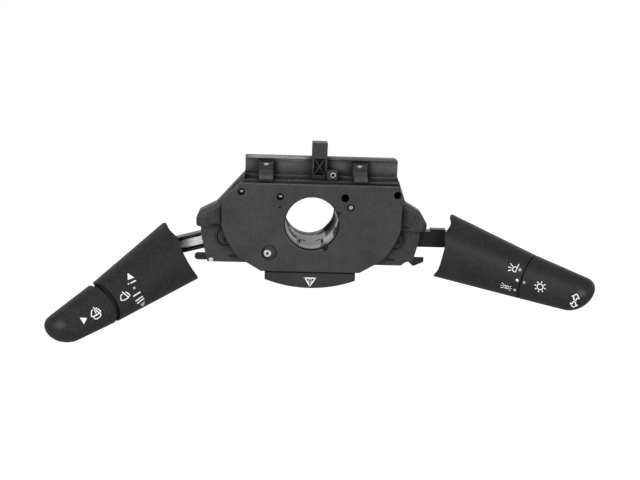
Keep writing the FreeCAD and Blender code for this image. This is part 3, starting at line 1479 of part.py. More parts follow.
def make_plug(side):
    """The plug in the sleeve's end: it holds the arm and guides the knob on its neck."""
    name = side_name[side]
    end = float(sleeve_length)
    start = end - float(plug_depth)
    sections = [sleeve_section(side, along, grip_wall + fit_gap) for along in (start, end)]
    shape = Part.makeLoft(sections, True, True)
    way = Vector(1, 0, 0)
    neck_end = end + float(knob_gap[side] + neck_length)
    shape = shape.fuse(Part.makeCylinder(float(neck_radius), neck_end - end + 1, Vector(end - 1, 0, 0), way))
    socket_end = start + float(arm_socket)
    web_rear = end - float(plug_web_set_back)
    web_front = web_rear - float(plug_web)
    shape = shape.cut(Part.makeCylinder(float(tube_radius), socket_end - start + 1,
                                        Vector(start - 1, 0, 0), way))
    shape = shape.cut(Part.makeCylinder(float(neck_pocket_radius), neck_end - web_rear + 1,
                                        Vector(web_rear, 0, 0), way))
    shape = shape.cut(Part.makeCylinder(float(shaft_radius + running_gap), web_rear - socket_end,
                                        Vector(socket_end, 0, 0), way))
    shape = shape.cut(Part.makeCylinder(float(retainer_radius) + 0.4, web_front - socket_end,
                                        Vector(socket_end, 0, 0), way))
    plug = doc.addObject("Part::Feature", name + "_plug_solid")
    plug.Shape = turned_to(side, shape)
    finish(name + "_end_plug", plug, arm_frame(side) * mouth_frame(side))


def knob_shell(side):
    """The hollow knob: a lofted shell with a rounded tip, without its stem."""
    straight = float(knob_length - tip_round)
    stations = [0]
    stations += [straight + float(tip_round) * share for share in (0, 0.4, 0.7, 0.9, 1)]
    outer = [knob_section(side, along, 0) for along in stations]
    inner = [knob_section(side, along, grip_wall) for along in (-1, straight - 1)]
    return Part.makeLoft(outer, True, True).cut(Part.makeLoft(inner, True, True))


def make_washer_button():
    """The left knob, pushed inward to wash, with its spring and its small switch."""
    side = LEFT
    place = arm_frame(side) * mouth_frame(side)
    way = Vector(1, 0, 0)
    end = float(sleeve_length)
    start = end + float(push_gap)
    web_rear = end - float(plug_web_set_back)
    stem_tip = web_rear + float(switch_height + push_travel + switch_rest_gap)
    stem_end = start + float(knob_length - tip_round)
    radius = float(shaft_radius - stem_clearance)
    stem = Part.makeCylinder(radius, stem_end - stem_tip, Vector(stem_tip, 0, 0), way)
    seat_at = start + float(neck_length + push_travel) + 1
    seat = Part.makeCylinder(float(neck_pocket_radius - seat_clearance), float(seat_thickness),
                             Vector(seat_at, 0, 0), way)
    button = doc.addObject("Part::Feature", "washer_button_shell")
    button.Shape = turned_to(side, knob_shell(side).fuse([stem, seat]))
    finish("washer_button", button, place)
    half = switch_half
    casing = block("washer_switch_case", across(side, web_rear, web_rear + switch_height),
                   (-half, half), (-half, half))
    plunger_x = across(side, web_rear + switch_height, web_rear + switch_height + switch_plunger_height)[0]
    plunger = rod("washer_switch_plunger", ALONG_X, plunger_x, 0, 0,
                  switch_plunger_radius, switch_plunger_height)
    finish("washer_switch", fuse("washer_switch_solid", casing, plunger), place)
    spring_start = web_rear + float(switch_height) + 0.1
    length = seat_at - spring_start - 0.1
    origin = across(side, spring_start, spring_start + length)[0]
    coil("washer_spring", place * frame(origin, 0, 0, ALONG_X), shaft_radius + 0.9, 4, length)


def make_light_knob():
    """The right knob, turned for the lights, with its contact drum and retaining ring."""
    side = RIGHT
    place = arm_frame(side) * mouth_frame(side)
    way = Vector(1, 0, 0)
    end = float(sleeve_length)
    start = end + float(turn_gap)
    web_rear = end - float(plug_web_set_back)
    web_front = web_rear - float(plug_web)
    ring_front = web_front - float(fit_gap + retainer_thickness)
    shaft_tip = ring_front - float(shaft_overrun)
    shaft_end = start + float(knob_length - tip_round)
    shaft = Part.makeCylinder(float(shaft_radius), shaft_end - shaft_tip, Vector(shaft_tip, 0, 0), way)
    knob = doc.addObject("Part::Feature", "light_knob_shell")
    knob.Shape = turned_to(side, knob_shell(side).fuse(shaft))
    finish("light_knob", knob, place)
    drum = rod("rotor_drum", ALONG_X, web_rear + fit_gap, 0, 0, rotor_radius, rotor_length)
    drum_hole = rod("rotor_hole", ALONG_X, web_rear, 0, 0, shaft_radius, rotor_length + 1)
    finish("light_rotor", cut("rotor", drum, drum_hole), place)
    ring = rod("retainer_disc", ALONG_X, ring_front, 0, 0, retainer_radius, retainer_thickness)
    ring_hole = rod("retainer_hole", ALONG_X, ring_front - 1, 0, 0, shaft_radius,
                    retainer_thickness + 2)
    finish("knob_retainer", cut("retainer", ring, ring_hole), place)


def check_and_write():
    """Check every object and every sub-part, then write one file for each."""
    doc.recompute()
    for item in doc.Objects:
        if "Invalid" in item.State or "Error" in item.State:
            raise RuntimeError(f"{item.Name} is in state {item.State}")
    os.makedirs("parts", exist_ok=True)
    facets = 0
    for label, item in nodes.items():
        shape = item.Shape
        if shape.isNull() or not shape.isValid() or not shape.Solids:
            raise RuntimeError(f"{label} has no valid shape")
        facets += len(shape.tessellate(0.1)[1])
        shape.exportStep(f"parts/{label}.step")
    print(len(nodes), "sub-parts,", facets, "facets")


make_carrier()
make_collar()
make_front_plate()
make_plate_fasteners()
make_cancel_ring()
make_pawl()
make_rail()
make_clips()
make_post()
make_insert()
make_hazard()
make_cover_screws()
make_case_rivet()
for each_side in (LEFT, RIGHT):
    make_case(each_side)
    make_cover(each_side)
    make_terminals(each_side)
    make_detent_track(each_side)
    make_latch(each_side)
    make_cradle(each_side)
    make_arm(each_side)
    make_duct(each_side)
    make_sleeve(each_side)
    make_plug(each_side)
make_washer_button()
make_light_knob()
check_and_write()
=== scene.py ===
"""The finish of a combination stalk switch: mouldings, two grips, printed symbols, light and view."""

import json
import math

import bmesh
import bpy
import numpy as np
from mathutils import Matrix, Vector

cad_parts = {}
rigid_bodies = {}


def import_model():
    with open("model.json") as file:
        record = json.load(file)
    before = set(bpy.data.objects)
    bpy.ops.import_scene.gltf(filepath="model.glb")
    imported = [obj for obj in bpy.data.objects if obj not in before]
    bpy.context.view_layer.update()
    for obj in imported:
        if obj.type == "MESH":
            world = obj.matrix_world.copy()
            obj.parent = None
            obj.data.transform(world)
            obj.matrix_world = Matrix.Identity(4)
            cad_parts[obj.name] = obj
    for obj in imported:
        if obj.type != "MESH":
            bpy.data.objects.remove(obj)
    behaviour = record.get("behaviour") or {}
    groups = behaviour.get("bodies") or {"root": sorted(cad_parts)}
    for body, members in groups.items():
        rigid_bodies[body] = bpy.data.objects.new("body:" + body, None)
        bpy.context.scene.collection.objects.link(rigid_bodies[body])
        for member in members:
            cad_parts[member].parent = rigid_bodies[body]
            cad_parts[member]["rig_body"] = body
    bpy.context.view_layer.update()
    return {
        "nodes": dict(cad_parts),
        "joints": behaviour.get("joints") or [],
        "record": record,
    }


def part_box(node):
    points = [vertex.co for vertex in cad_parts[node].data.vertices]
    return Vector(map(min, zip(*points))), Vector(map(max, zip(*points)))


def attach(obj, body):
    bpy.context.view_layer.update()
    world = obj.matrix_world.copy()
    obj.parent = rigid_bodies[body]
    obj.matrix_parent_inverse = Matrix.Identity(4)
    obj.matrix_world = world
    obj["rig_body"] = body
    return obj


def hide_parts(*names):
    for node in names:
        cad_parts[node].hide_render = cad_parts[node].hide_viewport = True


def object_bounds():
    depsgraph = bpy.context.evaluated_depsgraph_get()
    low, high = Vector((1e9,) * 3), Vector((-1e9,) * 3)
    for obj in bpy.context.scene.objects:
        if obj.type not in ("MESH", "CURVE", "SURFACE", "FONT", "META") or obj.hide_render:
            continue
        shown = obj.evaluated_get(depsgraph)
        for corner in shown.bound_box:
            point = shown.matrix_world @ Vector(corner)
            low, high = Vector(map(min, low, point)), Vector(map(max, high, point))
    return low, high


MM = 0.001
LEFT = -1
RIGHT = 1
SIDE_NAME = {LEFT: "left", RIGHT: "right"}

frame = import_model()
joints = {joint["name"]: joint for joint in frame["joints"]}

# The photograph's camera, in degrees and millimetres, and the floor under the object, in metres
CAMERA_TURN = -3.206
CAMERA_HEIGHT = 14.05
CAMERA_ROLL = 2.136
CAMERA_DISTANCE = 805.1
CAMERA_LOOK = (6.641, -56.0, -12.436)
CAMERA_LENS = 59.25
FLOOR_DROP = 0.16
FLOOR_HALF = 60.0

# Where each grip sits on its arm, in degrees and millimetres, as in the part's own sizes
PIVOT = {LEFT: joints["wiper_updown"]["pos_m"], RIGHT: joints["indicator_updown"]["pos_m"]}
ARM_DROOP = {LEFT: 15.0, RIGHT: 0.0}
MOUTH = (37.5, -4.0, -4.3)
STALK_DROOP = 14.2
STALK_LEAN = 29.0

# The grips' outline seen from the front, in millimetres from the mouth and from the stalk's axis
SLEEVE_LENGTH = 70.5
KNOB_END = {LEFT: 119.2, RIGHT: 122.6}
KNOB_GAP = {LEFT: 3.25, RIGHT: 0.7}
MOUTH_HALF_HEIGHT = 25.6
MOUTH_HALF_DEPTH = 17.3
JOINT_TOP = {LEFT: 15.2, RIGHT: 18.6}
JOINT_FOOT = {LEFT: -19.0, RIGHT: -16.8}
JOINT_HALF_DEPTH = 14.6
JOINT_DISH = {LEFT: 4.0, RIGHT: 1.2}
JOINT_RISE = {LEFT: 0.6, RIGHT: 1.6}
TIP_TOP = {LEFT: 10.7, RIGHT: 15.9}
TIP_FOOT = {LEFT: -12.6, RIGHT: -10.2}
TIP_MIDDLE = {LEFT: 2.0, RIGHT: 7.0}
TIP_HALF_DEPTH = 10.6
TIP_ROUND_TOP = 8.5
TIP_ROUND_FOOT = 16.0
TIP_TOP_POWER = 2.4
TIP_DEPTH_POWER = 2.6

# The grips' walls, the knobs' hollows, the soft ridge and the scoop of the mouths
WALL = 2.0
EDGE_WALL = 1.1
HOLLOW_FLOOR = 2.0
HOLLOW_SHOULDER = 10
ROUNDNESS = 2 / 2.35
RIDGE_HEIGHT = 2.5
RIDGE_ANGLE = math.radians(16)
RIDGE_SPREAD = 0.55
RIDGE_FADE = 1.5
SCOOP = {LEFT: 5.0, RIGHT: 8.6}
SCOOP_FOOT_POWER = {LEFT: 2.5, RIGHT: 4.0}
SCOOP_FOOT_SHARE = {LEFT: 1.0, RIGHT: 0.7}
SCOOP_TOP_POWER = 6.0
DIP = {LEFT: 2.4, RIGHT: 3.5}
DIP_HEIGHT = 0.53
DIP_SPREAD = 0.25
ROUND_STEPS = 168

# Painted light and shade round the column: first and last angle in degrees from straight down, front, rear
# and tone
LIT_WALLS = ((-64, -31, -43.0, -34.0, 1.8), (-56, -36, -16.0, -8.0, 1.7), (-26, 27, -52.5, -43.0, 1.35))
# Painted shade along the raked slot
RAKED_SLOT_SHADE = ((-66, -56, -16.0, 0.0, 0.03), (-60, -50, -23.0, -8.0, 0.03), (-54, -45, -28.0, -14.0, 0.03),
              (-48, -39, -32.0, -19.0, 0.03), (-42, -30, -34.0, -23.0, 0.03))
# Painted shade along the seams
SEAM_SHADE = ((-31, -27.5, -51.0, -36.0, 0.1), (-20, -9, -30.5, -27.0, 0.3), (14, 25, -30.0, -26.0, 0.3),
         (25, 28, -51.0, -36.0, 0.15))
# Painted light, shade and glints on the right of the wall
RIGHT_WALL_LIGHT_AND_SHADE = ((33, 58, -44.0, -28.0, 1.5), (38, 86, -28.0, -8.0, 0.02), (58, 105, -53.0, -36.0, 0.03),
              (62, 92, -35.0, -29.0, 0.5), (73, 82, -40.0, -34.0, 2.6), (88, 97, -47.0, -41.0, 2.6))
# Painted shade in the gap at the ring's front
RING_RIM_SHADE = ((-190, 190, -53.4, -51.0, 0.03), (21, 38, -53.4, -46.0, 0.02))
# Painted shade and light on the collar
COLLAR_LIGHT_AND_SHADE = ((-66, -56, -16.0, 0.0, 0.03), (-52, -34, -8.3, -1.0, 1.6), (28, 84, -8.3, 0.0, 0.1))

# The same marks with the radius that they end at: the whole wall inside, or the plate's painted bright lip
# and the painted shade in its gap
WHOLE_WALL = 30
RING_BANDS = [(*mark, WHOLE_WALL) for mark in LIT_WALLS + RAKED_SLOT_SHADE + SEAM_SHADE + RIGHT_WALL_LIGHT_AND_SHADE + RING_RIM_SHADE]
COLLAR_BANDS = [(*mark, WHOLE_WALL) for mark in COLLAR_LIGHT_AND_SHADE]
PLATE_BANDS = [(-64, 29, -56.3, -55.0, 1.8, 21.9), (-190, 190, -56.3, -53.0, 0.02, 21.1)]

# The lug inside the ring: its flat's distance from the axis, its angle, the wall's radius, its depth
LUG_FLAT = 17.9
LUG_ANGLE = 47.4
LUG_WALL = 20.35
LUG_DEPTH = -10.0
LUG_THICKNESS = 1.2

# The plate screws, outward and upward, and their heads, sockets, washers and shanks; the black washers
# stand for the shade in the recesses
SCREWS = ((-54.1, 23.7), (-24.7, 20.5))
SCREW_SEAT = -54.5
HEAD_RADIUS = 2.4
HEAD_HEIGHT = 0.7
HEAD_FALL = 0.45
SOCKET_DEPTH = 0.45
SOCKET_HALF_WIDTH = 0.32
SOCKET_REACH = 1.35
SHANK_RADIUS = 1.4
SHANK_LENGTH = 13.0
SHADE_WASHER_RADIUS = 3.1
SHADE_WASHER_HEIGHT = 0.25

# The fixing holes, outward and upward, with the radius of the black discs that close them for the holes'
# shade, and the discs' depth
FIXINGS = ((24.7, 20.5, 3.08), (64.5, 23.7, 2.88))
END_DEPTH = -31.0

# The aprons of the rail's clips: how wide they are and where their middles lie from the clips' ends
APRON_WIDTH = 10.6
APRON_MIDDLE = 6.1
SHEET = 1.0

# Printed paint: how far it stands off the skin, how thick it is, and the width of its strokes
PRINT_LIFT = 0.04
INK = 0.06
BOLD = 0.95
MEDIUM = 0.75
PLAIN = 0.7
THIN = 0.6
FINE = 0.42

# The hazard sign on its button: its middle, the triangle's reach, stretch and stroke, and the inner ring
HAZARD_MIDDLE = (0.15, -45.25)
HAZARD_REACH = 4.3
HAZARD_STRETCH = (1.1, 0.97)
HAZARD_STROKE = 0.85
HAZARD_RING = 1.25
HAZARD_RING_STROKE = 1.0
HAZARD_LIFT = 0.03


def smooth_mesh(mesh, crease=35):
    """Smooth shading that stays crisp where faces meet at more than an angle in degrees."""
    mesh.shade_smooth()
    mesh.set_sharp_from_angle(angle=math.radians(crease))


def dress(piece, body, material, replaced=()):
    """Link a piece, give it its material, and tie it to its body and the solids it stands for."""
    bpy.context.scene.collection.objects.link(piece)
    piece.data.materials.clear()
    piece.data.materials.append(material)
    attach(piece, body)
    if replaced:
        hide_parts(*replaced)
    return piece


def grid_faces(rows, columns, wrap_rows, wrap_columns):
    """Corner numbers of the quads of a grid, closed on itself where asked."""
    row = np.arange(rows if wrap_rows else rows - 1)
    column = np.arange(columns if wrap_columns else columns - 1)
    r, c = (part.ravel() for part in np.meshgrid(row, column, indexing="ij"))
    next_r, next_c = (r + 1) % rows, (c + 1) % columns
    return np.stack([r * columns + c, next_r * columns + c, next_r * columns + next_c,
                     r * columns + next_c], axis=1)


def grid_mesh(name, points, wrap_rows=False, wrap_columns=False):
    """A mesh through a grid of points, rows by columns by 3, in metres."""
    rows, columns = points.shape[:2]
    faces = grid_faces(rows, columns, wrap_rows, wrap_columns)
    mesh = bpy.data.meshes.new(name)
    mesh.from_pydata(points.reshape(-1, 3), [], faces.tolist())
    shape = bmesh.new()
    shape.from_mesh(mesh)
    bmesh.ops.remove_doubles(shape, verts=shape.verts, dist=2e-6)
    bmesh.ops.recalc_face_normals(shape, faces=shape.faces)
    shape.to_mesh(mesh)
    shape.free()
    smooth_mesh(mesh)
    return mesh


def grip_matrix(side):
    """Turns grip coordinates in millimetres (outward, back, up) into the object's metres."""
    arm = Matrix.Rotation(math.radians(side * ARM_DROOP[side]), 4, "Y")
    droop = Matrix.Rotation(math.radians(side * STALK_DROOP), 4, "Y")
    lean = Matrix.Rotation(math.radians(-side * STALK_LEAN), 4, "Z")
    mouth = Matrix.Translation((side * MOUTH[0] * MM, MOUTH[1] * MM, MOUTH[2] * MM))
    scale = Matrix.Diagonal((side * MM, MM, MM, 1))
    return Matrix.Translation(PIVOT[side]) @ arm @ mouth @ droop @ lean @ scale


def to_object(side, outward, back, up):
    """Grip coordinates as arrays, turned into the object's metres."""
    points = np.stack(np.broadcast_arrays(outward, back, up), axis=-1)
    matrix = np.array(grip_matrix(side))
    return points @ matrix[:3, :3].T + matrix[:3, 3]


def grip_outline(side, along):
    """Top, foot and half depth of a grip at distances from its mouth.

    Each runs straight from mouth to joint and from joint to tip. Near the tip, the top closes on the
    tip's middle as (1 - s ** power) ** (1 / power) over a short way s, the depth so over a longer
    one, and the foot as a quarter ellipse.
    """
    end = KNOB_END[side]
    stations = (0, SLEEVE_LENGTH, end)
    top = np.interp(along, stations, (MOUTH_HALF_HEIGHT, JOINT_TOP[side], TIP_TOP[side]))
    foot = np.interp(along, stations, (-MOUTH_HALF_HEIGHT, JOINT_FOOT[side], TIP_FOOT[side]))
    depth = np.interp(along, stations, (MOUTH_HALF_DEPTH, JOINT_HALF_DEPTH, TIP_HALF_DEPTH))
    short = np.clip((along - end + TIP_ROUND_TOP) / TIP_ROUND_TOP, 0, 1)
    long = np.clip((along - end + TIP_ROUND_FOOT) / TIP_ROUND_FOOT, 0, 1)
    middle = TIP_MIDDLE[side]
    top = middle + (top - middle) * (1 - short ** TIP_TOP_POWER) ** (1 / TIP_TOP_POWER)
    foot = middle + (foot - middle) * np.sqrt(1 - long ** 2)
    depth = depth * (1 - long ** TIP_DEPTH_POWER) ** (1 / TIP_DEPTH_POWER)
    return top, foot, depth


def grip_section(side, along, angle, inset=0.0):
    """Back and up coordinates on a grip's skin, at a distance from the mouth and an angle round it.

    The section is a superellipse: |back / depth| and |up / height| to the power 2.35 add up to one.
    A bell-shaped rise round one angle makes the soft ridge on the front, and it fades to the joint.
    """
    top, foot, depth = grip_outline(side, along)
    middle = (top + foot) / 2
    height = (top - foot) / 2 - inset
    depth = depth - inset
    cos, sin = np.cos(angle), np.sin(angle)
    back = -depth * np.sign(cos) * np.abs(cos) ** ROUNDNESS
    up = middle + height * np.sign(sin) * np.abs(sin) ** ROUNDNESS
    away = (angle - RIDGE_ANGLE + np.pi) % (2 * np.pi) - np.pi
    fade = np.clip(1 - along / SLEEVE_LENGTH, 0, 1) ** RIDGE_FADE
    back = back - RIDGE_HEIGHT * fade * np.exp(-(away / RIDGE_SPREAD) ** 2)
    return back, up


def mouth_edge(side, angle):
    """How far out the mouth's rim lies at each angle: a scoop with a sharp horn at its top.

    The scoop is deep * (1 - share * |height| ** power), steeper above than below, less a bell-shaped
    dip where the ridge meets the rim.
    """
    sin = np.sin(angle)
    height = np.sign(sin) * np.abs(sin) ** ROUNDNESS
    power = np.where(height > 0, SCOOP_TOP_POWER, SCOOP_FOOT_POWER[side])
    share = np.where(height > 0, 1.0, SCOOP_FOOT_SHARE[side])
    front = np.clip(np.cos(angle) * 1.5, 0, 1)
    dip = DIP[side] * front * np.exp(-((height - DIP_HEIGHT) / DIP_SPREAD) ** 2)
    return SCOOP[side] * (1 - share * np.abs(height) ** power) - dip


def joint_edge(side, angle):
    """How far out the sleeve ends at each angle: length + rise - dish * |cos| to twice the roundness."""
    cos = np.abs(np.cos(angle)) ** ROUNDNESS
    return SLEEVE_LENGTH + JOINT_RISE[side] - JOINT_DISH[side] * cos ** 2


def wall_profile(steps_out, steps_in):
    """Shares along a hollow wall and their skin: out along the outer one (0), back along the inner (1)."""
    out = np.linspace(0, 1, steps_out)
    back = np.linspace(1, 0, steps_in)
    share = np.concatenate([out, back])
    inner = np.concatenate([np.zeros(steps_out), np.ones(steps_in)])
    return share, inner


def make_sleeve(side, material):
    """The tapered sleeve: one closed wall, outer skin, joint rim, inner skin and mouth rim.

    A point lies at its share of the way from mouth_edge to joint_edge, on grip_section at its angle.
    """
    share, inner = wall_profile(56, 20)
    angle = np.linspace(0, 2 * np.pi, ROUND_STEPS, endpoint=False)
    share, angle = np.meshgrid(share, angle, indexing="ij")
    inset = np.broadcast_to(inner[:, None], share.shape) * WALL
    start = mouth_edge(side, angle)
    along = start + (joint_edge(side, angle) - start) * share
    back, up = grip_section(side, along, angle, inset)
    name = SIDE_NAME[side] + "_sleeve_grip"
    mesh = grid_mesh(name, to_object(side, along, back, up), True, True)
    piece = bpy.data.objects.new(name, mesh)
    add_bevel(piece, 0.35)
    dress(piece, SIDE_NAME[side] + "_stalk", material, [SIDE_NAME[side] + "_sleeve"])


def make_knob(side, name, material):
    """An end knob: an outer skin that closes on the tip, an inner skin and a floor inside.

    Its points lie on grip_section, from joint_edge and a gap to the tip, at stations that follow a
    sine near the tip so that they crowd where the skin closes.
    """
    angle = np.linspace(0, 2 * np.pi, ROUND_STEPS, endpoint=False)
    end = KNOB_END[side]
    turn = np.linspace(0, math.pi / 2, 30)[1:]
    near = end - TIP_ROUND_FOOT
    outer = np.concatenate([np.linspace(0, near, 40), near + TIP_ROUND_FOOT * np.sin(turn)])
    inner = np.array([near + HOLLOW_FLOOR, near - HOLLOW_SHOULDER, 0])
    start = joint_edge(side, angle) + KNOB_GAP[side]
    rows = []
    for stations, inset in ((outer, 0.0), (inner, np.array([[WALL], [WALL], [EDGE_WALL]]))):
        base, level = np.meshgrid(stations, start, indexing="ij")
        along = level + (end - level) * base / end
        back, up = grip_section(side, along, angle[None, :], inset)
        rows.append(to_object(side, along, back, up))
    middle = to_object(side, inner[0], 0.0, TIP_MIDDLE[side] / 2)
    rows.insert(1, np.broadcast_to(middle, (1, len(angle), 3)))
    mesh = grid_mesh(name + "_cap", np.concatenate(rows), True, True)
    piece = bpy.data.objects.new(name + "_cap", mesh)
    add_bevel(piece, 0.3)
    dress(piece, name, material, [name])


def add_bevel(piece, width):
    """Rounds the sharp edges of a piece by a width in millimetres."""
    bevel = piece.modifiers.new("soft_edges", "BEVEL")
    bevel.width = width * MM
    bevel.segments = 2
    bevel.limit_method = "ANGLE"
    bevel.angle_limit = math.radians(32)
    bevel.use_clamp_overlap = False
    bevel.harden_normals = True


def add_wall(piece, thickness, offset=0):
    """Gives a sheet its thickness in millimetres: to both sides, or inwards with an offset of -1."""
    wall = piece.modifiers.new("wall", "SOLIDIFY")
    wall.thickness = thickness * MM
    wall.offset = offset


def moulded(node, material, width):
    """A CAD solid's own shape with its loose triangles joined and its sharp edges rounded."""
    source = frame["nodes"][node]
    mesh = source.data.copy()
    mesh.name = node + "_piece"
    shape = bmesh.new()
    shape.from_mesh(mesh)
    bmesh.ops.remove_doubles(shape, verts=shape.verts, dist=1e-6)
    bmesh.ops.dissolve_limit(shape, angle_limit=math.radians(1), verts=shape.verts,
                             edges=shape.edges)
    shape.to_mesh(mesh)
    shape.free()
    smooth_mesh(mesh, 30)
    piece = bpy.data.objects.new(node + "_piece", mesh)
    add_bevel(piece, width)
    dress(piece, source["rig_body"], material, [node])


def make_screws(material):
    """Two screws with a washer each, low domed heads and cross-shaped sockets. The black washers fill the
    recesses, a dark sheet for their shade.

    A head's height falls by the square of the radius. The socket takes a depth off near the middle,
    less beside its two arms: 1 / (1 + (the smaller of |across| and |up|, over its half width) ** 6).
    """
    angle = np.linspace(0, 2 * np.pi, 96, endpoint=False)
    radius = np.linspace(0, HEAD_RADIUS, 26)
    radius, around = np.meshgrid(radius, angle, indexing="ij")
    across, up = radius * np.cos(around), radius * np.sin(around)
    height = HEAD_HEIGHT * (1 - HEAD_FALL * (radius / HEAD_RADIUS) ** 2)
    arms = 1 / (1 + (np.minimum(np.abs(across), np.abs(up)) / SOCKET_HALF_WIDTH) ** 6)
    height = height - SOCKET_DEPTH * arms / (1 + (radius / SOCKET_REACH) ** 10)
    head = np.stack([across, SCREW_SEAT - height, up], axis=-1)
    # The washer rows: a black ring that stands for the recess's shade
    foot = [(HEAD_RADIUS, -SHADE_WASHER_HEIGHT), (SHADE_WASHER_RADIUS, -SHADE_WASHER_HEIGHT), (SHADE_WASHER_RADIUS, 0.0),
            (SHANK_RADIUS, 0.0), (SHANK_RADIUS, SHANK_LENGTH), (0.0, SHANK_LENGTH)]
    rows = [np.stack([out * np.cos(angle), np.full(len(angle), SCREW_SEAT + deep), out * np.sin(angle)],
                     axis=-1)[None] for out, deep in foot]
    screw = np.concatenate([head, *rows])
    meshes = [grid_mesh("screw", (screw + np.array([out, 0.0, height_up])) * MM, False, True)
              for out, height_up in SCREWS]
    join_meshes("plate_screw_heads", meshes, "carrier", material, ["plate_screws"])


def join_meshes(name, meshes, body, material, replaced=()):
    """One piece from several meshes."""
    shape = bmesh.new()
    for mesh in meshes:
        shape.from_mesh(mesh)
    whole = bpy.data.meshes.new(name)
    shape.to_mesh(whole)
    shape.free()
    smooth_mesh(whole)
    return dress(bpy.data.objects.new(name, whole), body, material, replaced)


def make_clip_aprons(material):
    """The apron of each rail clip: a sheet that runs down its front and forward over the tray.

    The sheet's path is soft_path through a few points of its side view, carried across its width.
    """
    low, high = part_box("rail_clips")
    path = soft_path([(-38.9, 43.6), (-39.4, 42.6), (-38.9, 41.4), (-39.2, 36.4), (-45.0, 34.4),
                      (-50.6, 33.6), (-50.9, 31.7)])
    meshes = []
    for middle in (low.x / MM + APRON_MIDDLE, high.x / MM - APRON_MIDDLE):
        across = middle + np.linspace(-0.5, 0.5, 5) * APRON_WIDTH
        points = np.stack(np.broadcast_arrays(across[None, :], path[:, None, 0], path[:, None, 1]),
                          axis=-1)
        meshes.append(grid_mesh("apron", points * MM))
    piece = join_meshes("rail_clip_aprons", meshes, "carrier", material)
    add_wall(piece, SHEET)
    add_bevel(piece, 0.25)


def make_hole_shade_discs(material):
    """A black disc that closes each fixing hole and gives it its shade: a flat disc, given as rings that
    close on its centre.
    """
    meshes = []
    for out, up, reach in FIXINGS:
        ring, angle = np.meshgrid(np.linspace(0, reach, 4),
                                  np.linspace(0, 2 * np.pi, 48, endpoint=False), indexing="ij")
        points = np.stack([out + ring * np.cos(angle), np.full(ring.shape, END_DEPTH),
                           up + ring * np.sin(angle)], axis=-1)
        meshes.append(grid_mesh("hole_shade_disc", points * MM, False, True))
    piece = join_meshes("fixing_hole_shade_discs", meshes, "carrier", material)
    add_wall(piece, SHEET)


def make_ring_lug(material):
    """The lug across the ring's rear: flat where it faces the axis, round where it meets the wall.

    Its flat lies at its distance / cos(angle from its middle), its round side at the wall's radius.
    """
    half = math.degrees(math.acos(LUG_FLAT / LUG_WALL))
    turn = np.linspace(-half, half, 40)
    flat = LUG_FLAT / np.cos(np.radians(turn))
    share = np.linspace(0, 1, 5)[:, None]
    radius = flat + (LUG_WALL - flat) * share
    angle = np.radians(LUG_ANGLE + turn)[None, :]
    points = np.stack(np.broadcast_arrays(radius * np.sin(angle), LUG_DEPTH, -radius * np.cos(angle)),
                      axis=-1)
    piece = bpy.data.objects.new("cancel_ring_lug", grid_mesh("cancel_ring_lug", points * MM))
    add_wall(piece, LUG_THICKNESS)
    dress(piece, "cancel_ring", material)


def add_node(tree, kind, values=None, **settings):
    """One node with its settings, and its inputs set from plain values or joined to sockets."""
    node = tree.nodes.new(kind)
    for key, value in settings.items():
        setattr(node, key, value)
    for key, value in (values or {}).items():
        if isinstance(value, bpy.types.NodeSocket):
            tree.links.new(value, node.inputs[key])
        else:
            node.inputs[key].default_value = value
    return node


def maths(tree, operation, first, second):
    """What an arithmetic node makes of two values."""
    return add_node(tree, "ShaderNodeMath", {0: first, 1: second}, operation=operation).outputs[0]


def vector_maths(tree, operation, *values):
    """What a vector node makes of its values: a number for a length or a product, else a vector."""
    node = add_node(tree, "ShaderNodeVectorMath", dict(enumerate(values)), operation=operation)
    return node.outputs["Value" if operation in ("LENGTH", "DOT_PRODUCT") else "Vector"]


def remap(tree, value, low, high, start=0.0, end=1.0, kind="LINEAR"):
    """A value between two limits, turned into one between two others and held there."""
    limits = {"Value": value, "From Min": low, "From Max": high, "To Min": start, "To Max": end}
    return add_node(tree, "ShaderNodeMapRange", limits, interpolation_type=kind).outputs[0]


def noise(tree, place, scale, detail, roughness=0.5):
    """Cloudy noise of a size and a fineness."""
    values = {"Vector": place, "Scale": scale, "Detail": detail, "Roughness": roughness}
    return add_node(tree, "ShaderNodeTexNoise", values).outputs["Fac"]


def shade(colour, times):
    """A colour made paler or darker, with no part of it over one."""
    return [*(min(c * times, 1.0) for c in colour), 1.0]


def mix_colours(tree, share, below, above):
    """One colour laid over another, as far as a share says."""
    values = {"Factor": share, 6: below, 7: above}
    return add_node(tree, "ShaderNodeMix", values, data_type="RGBA").outputs[2]


def new_group(name, inputs, outputs=("Mask",)):
    """An empty shader node group, with what goes in and what comes out, both by name.

    An input is given with its number, or with None where it is a place.
    """
    group = bpy.data.node_groups.new(name, "ShaderNodeTree")
    for label, value in inputs.items():
        kind = "NodeSocketVector" if value is None else "NodeSocketFloat"
        socket = group.interface.new_socket(name=label, in_out="INPUT", socket_type=kind)
        if value is not None:
            socket.default_value = value
    for label in outputs:
        group.interface.new_socket(name=label, in_out="OUTPUT", socket_type="NodeSocketFloat")
    return group, add_node(group, "NodeGroupInput").outputs, add_node(group, "NodeGroupOutput").inputs


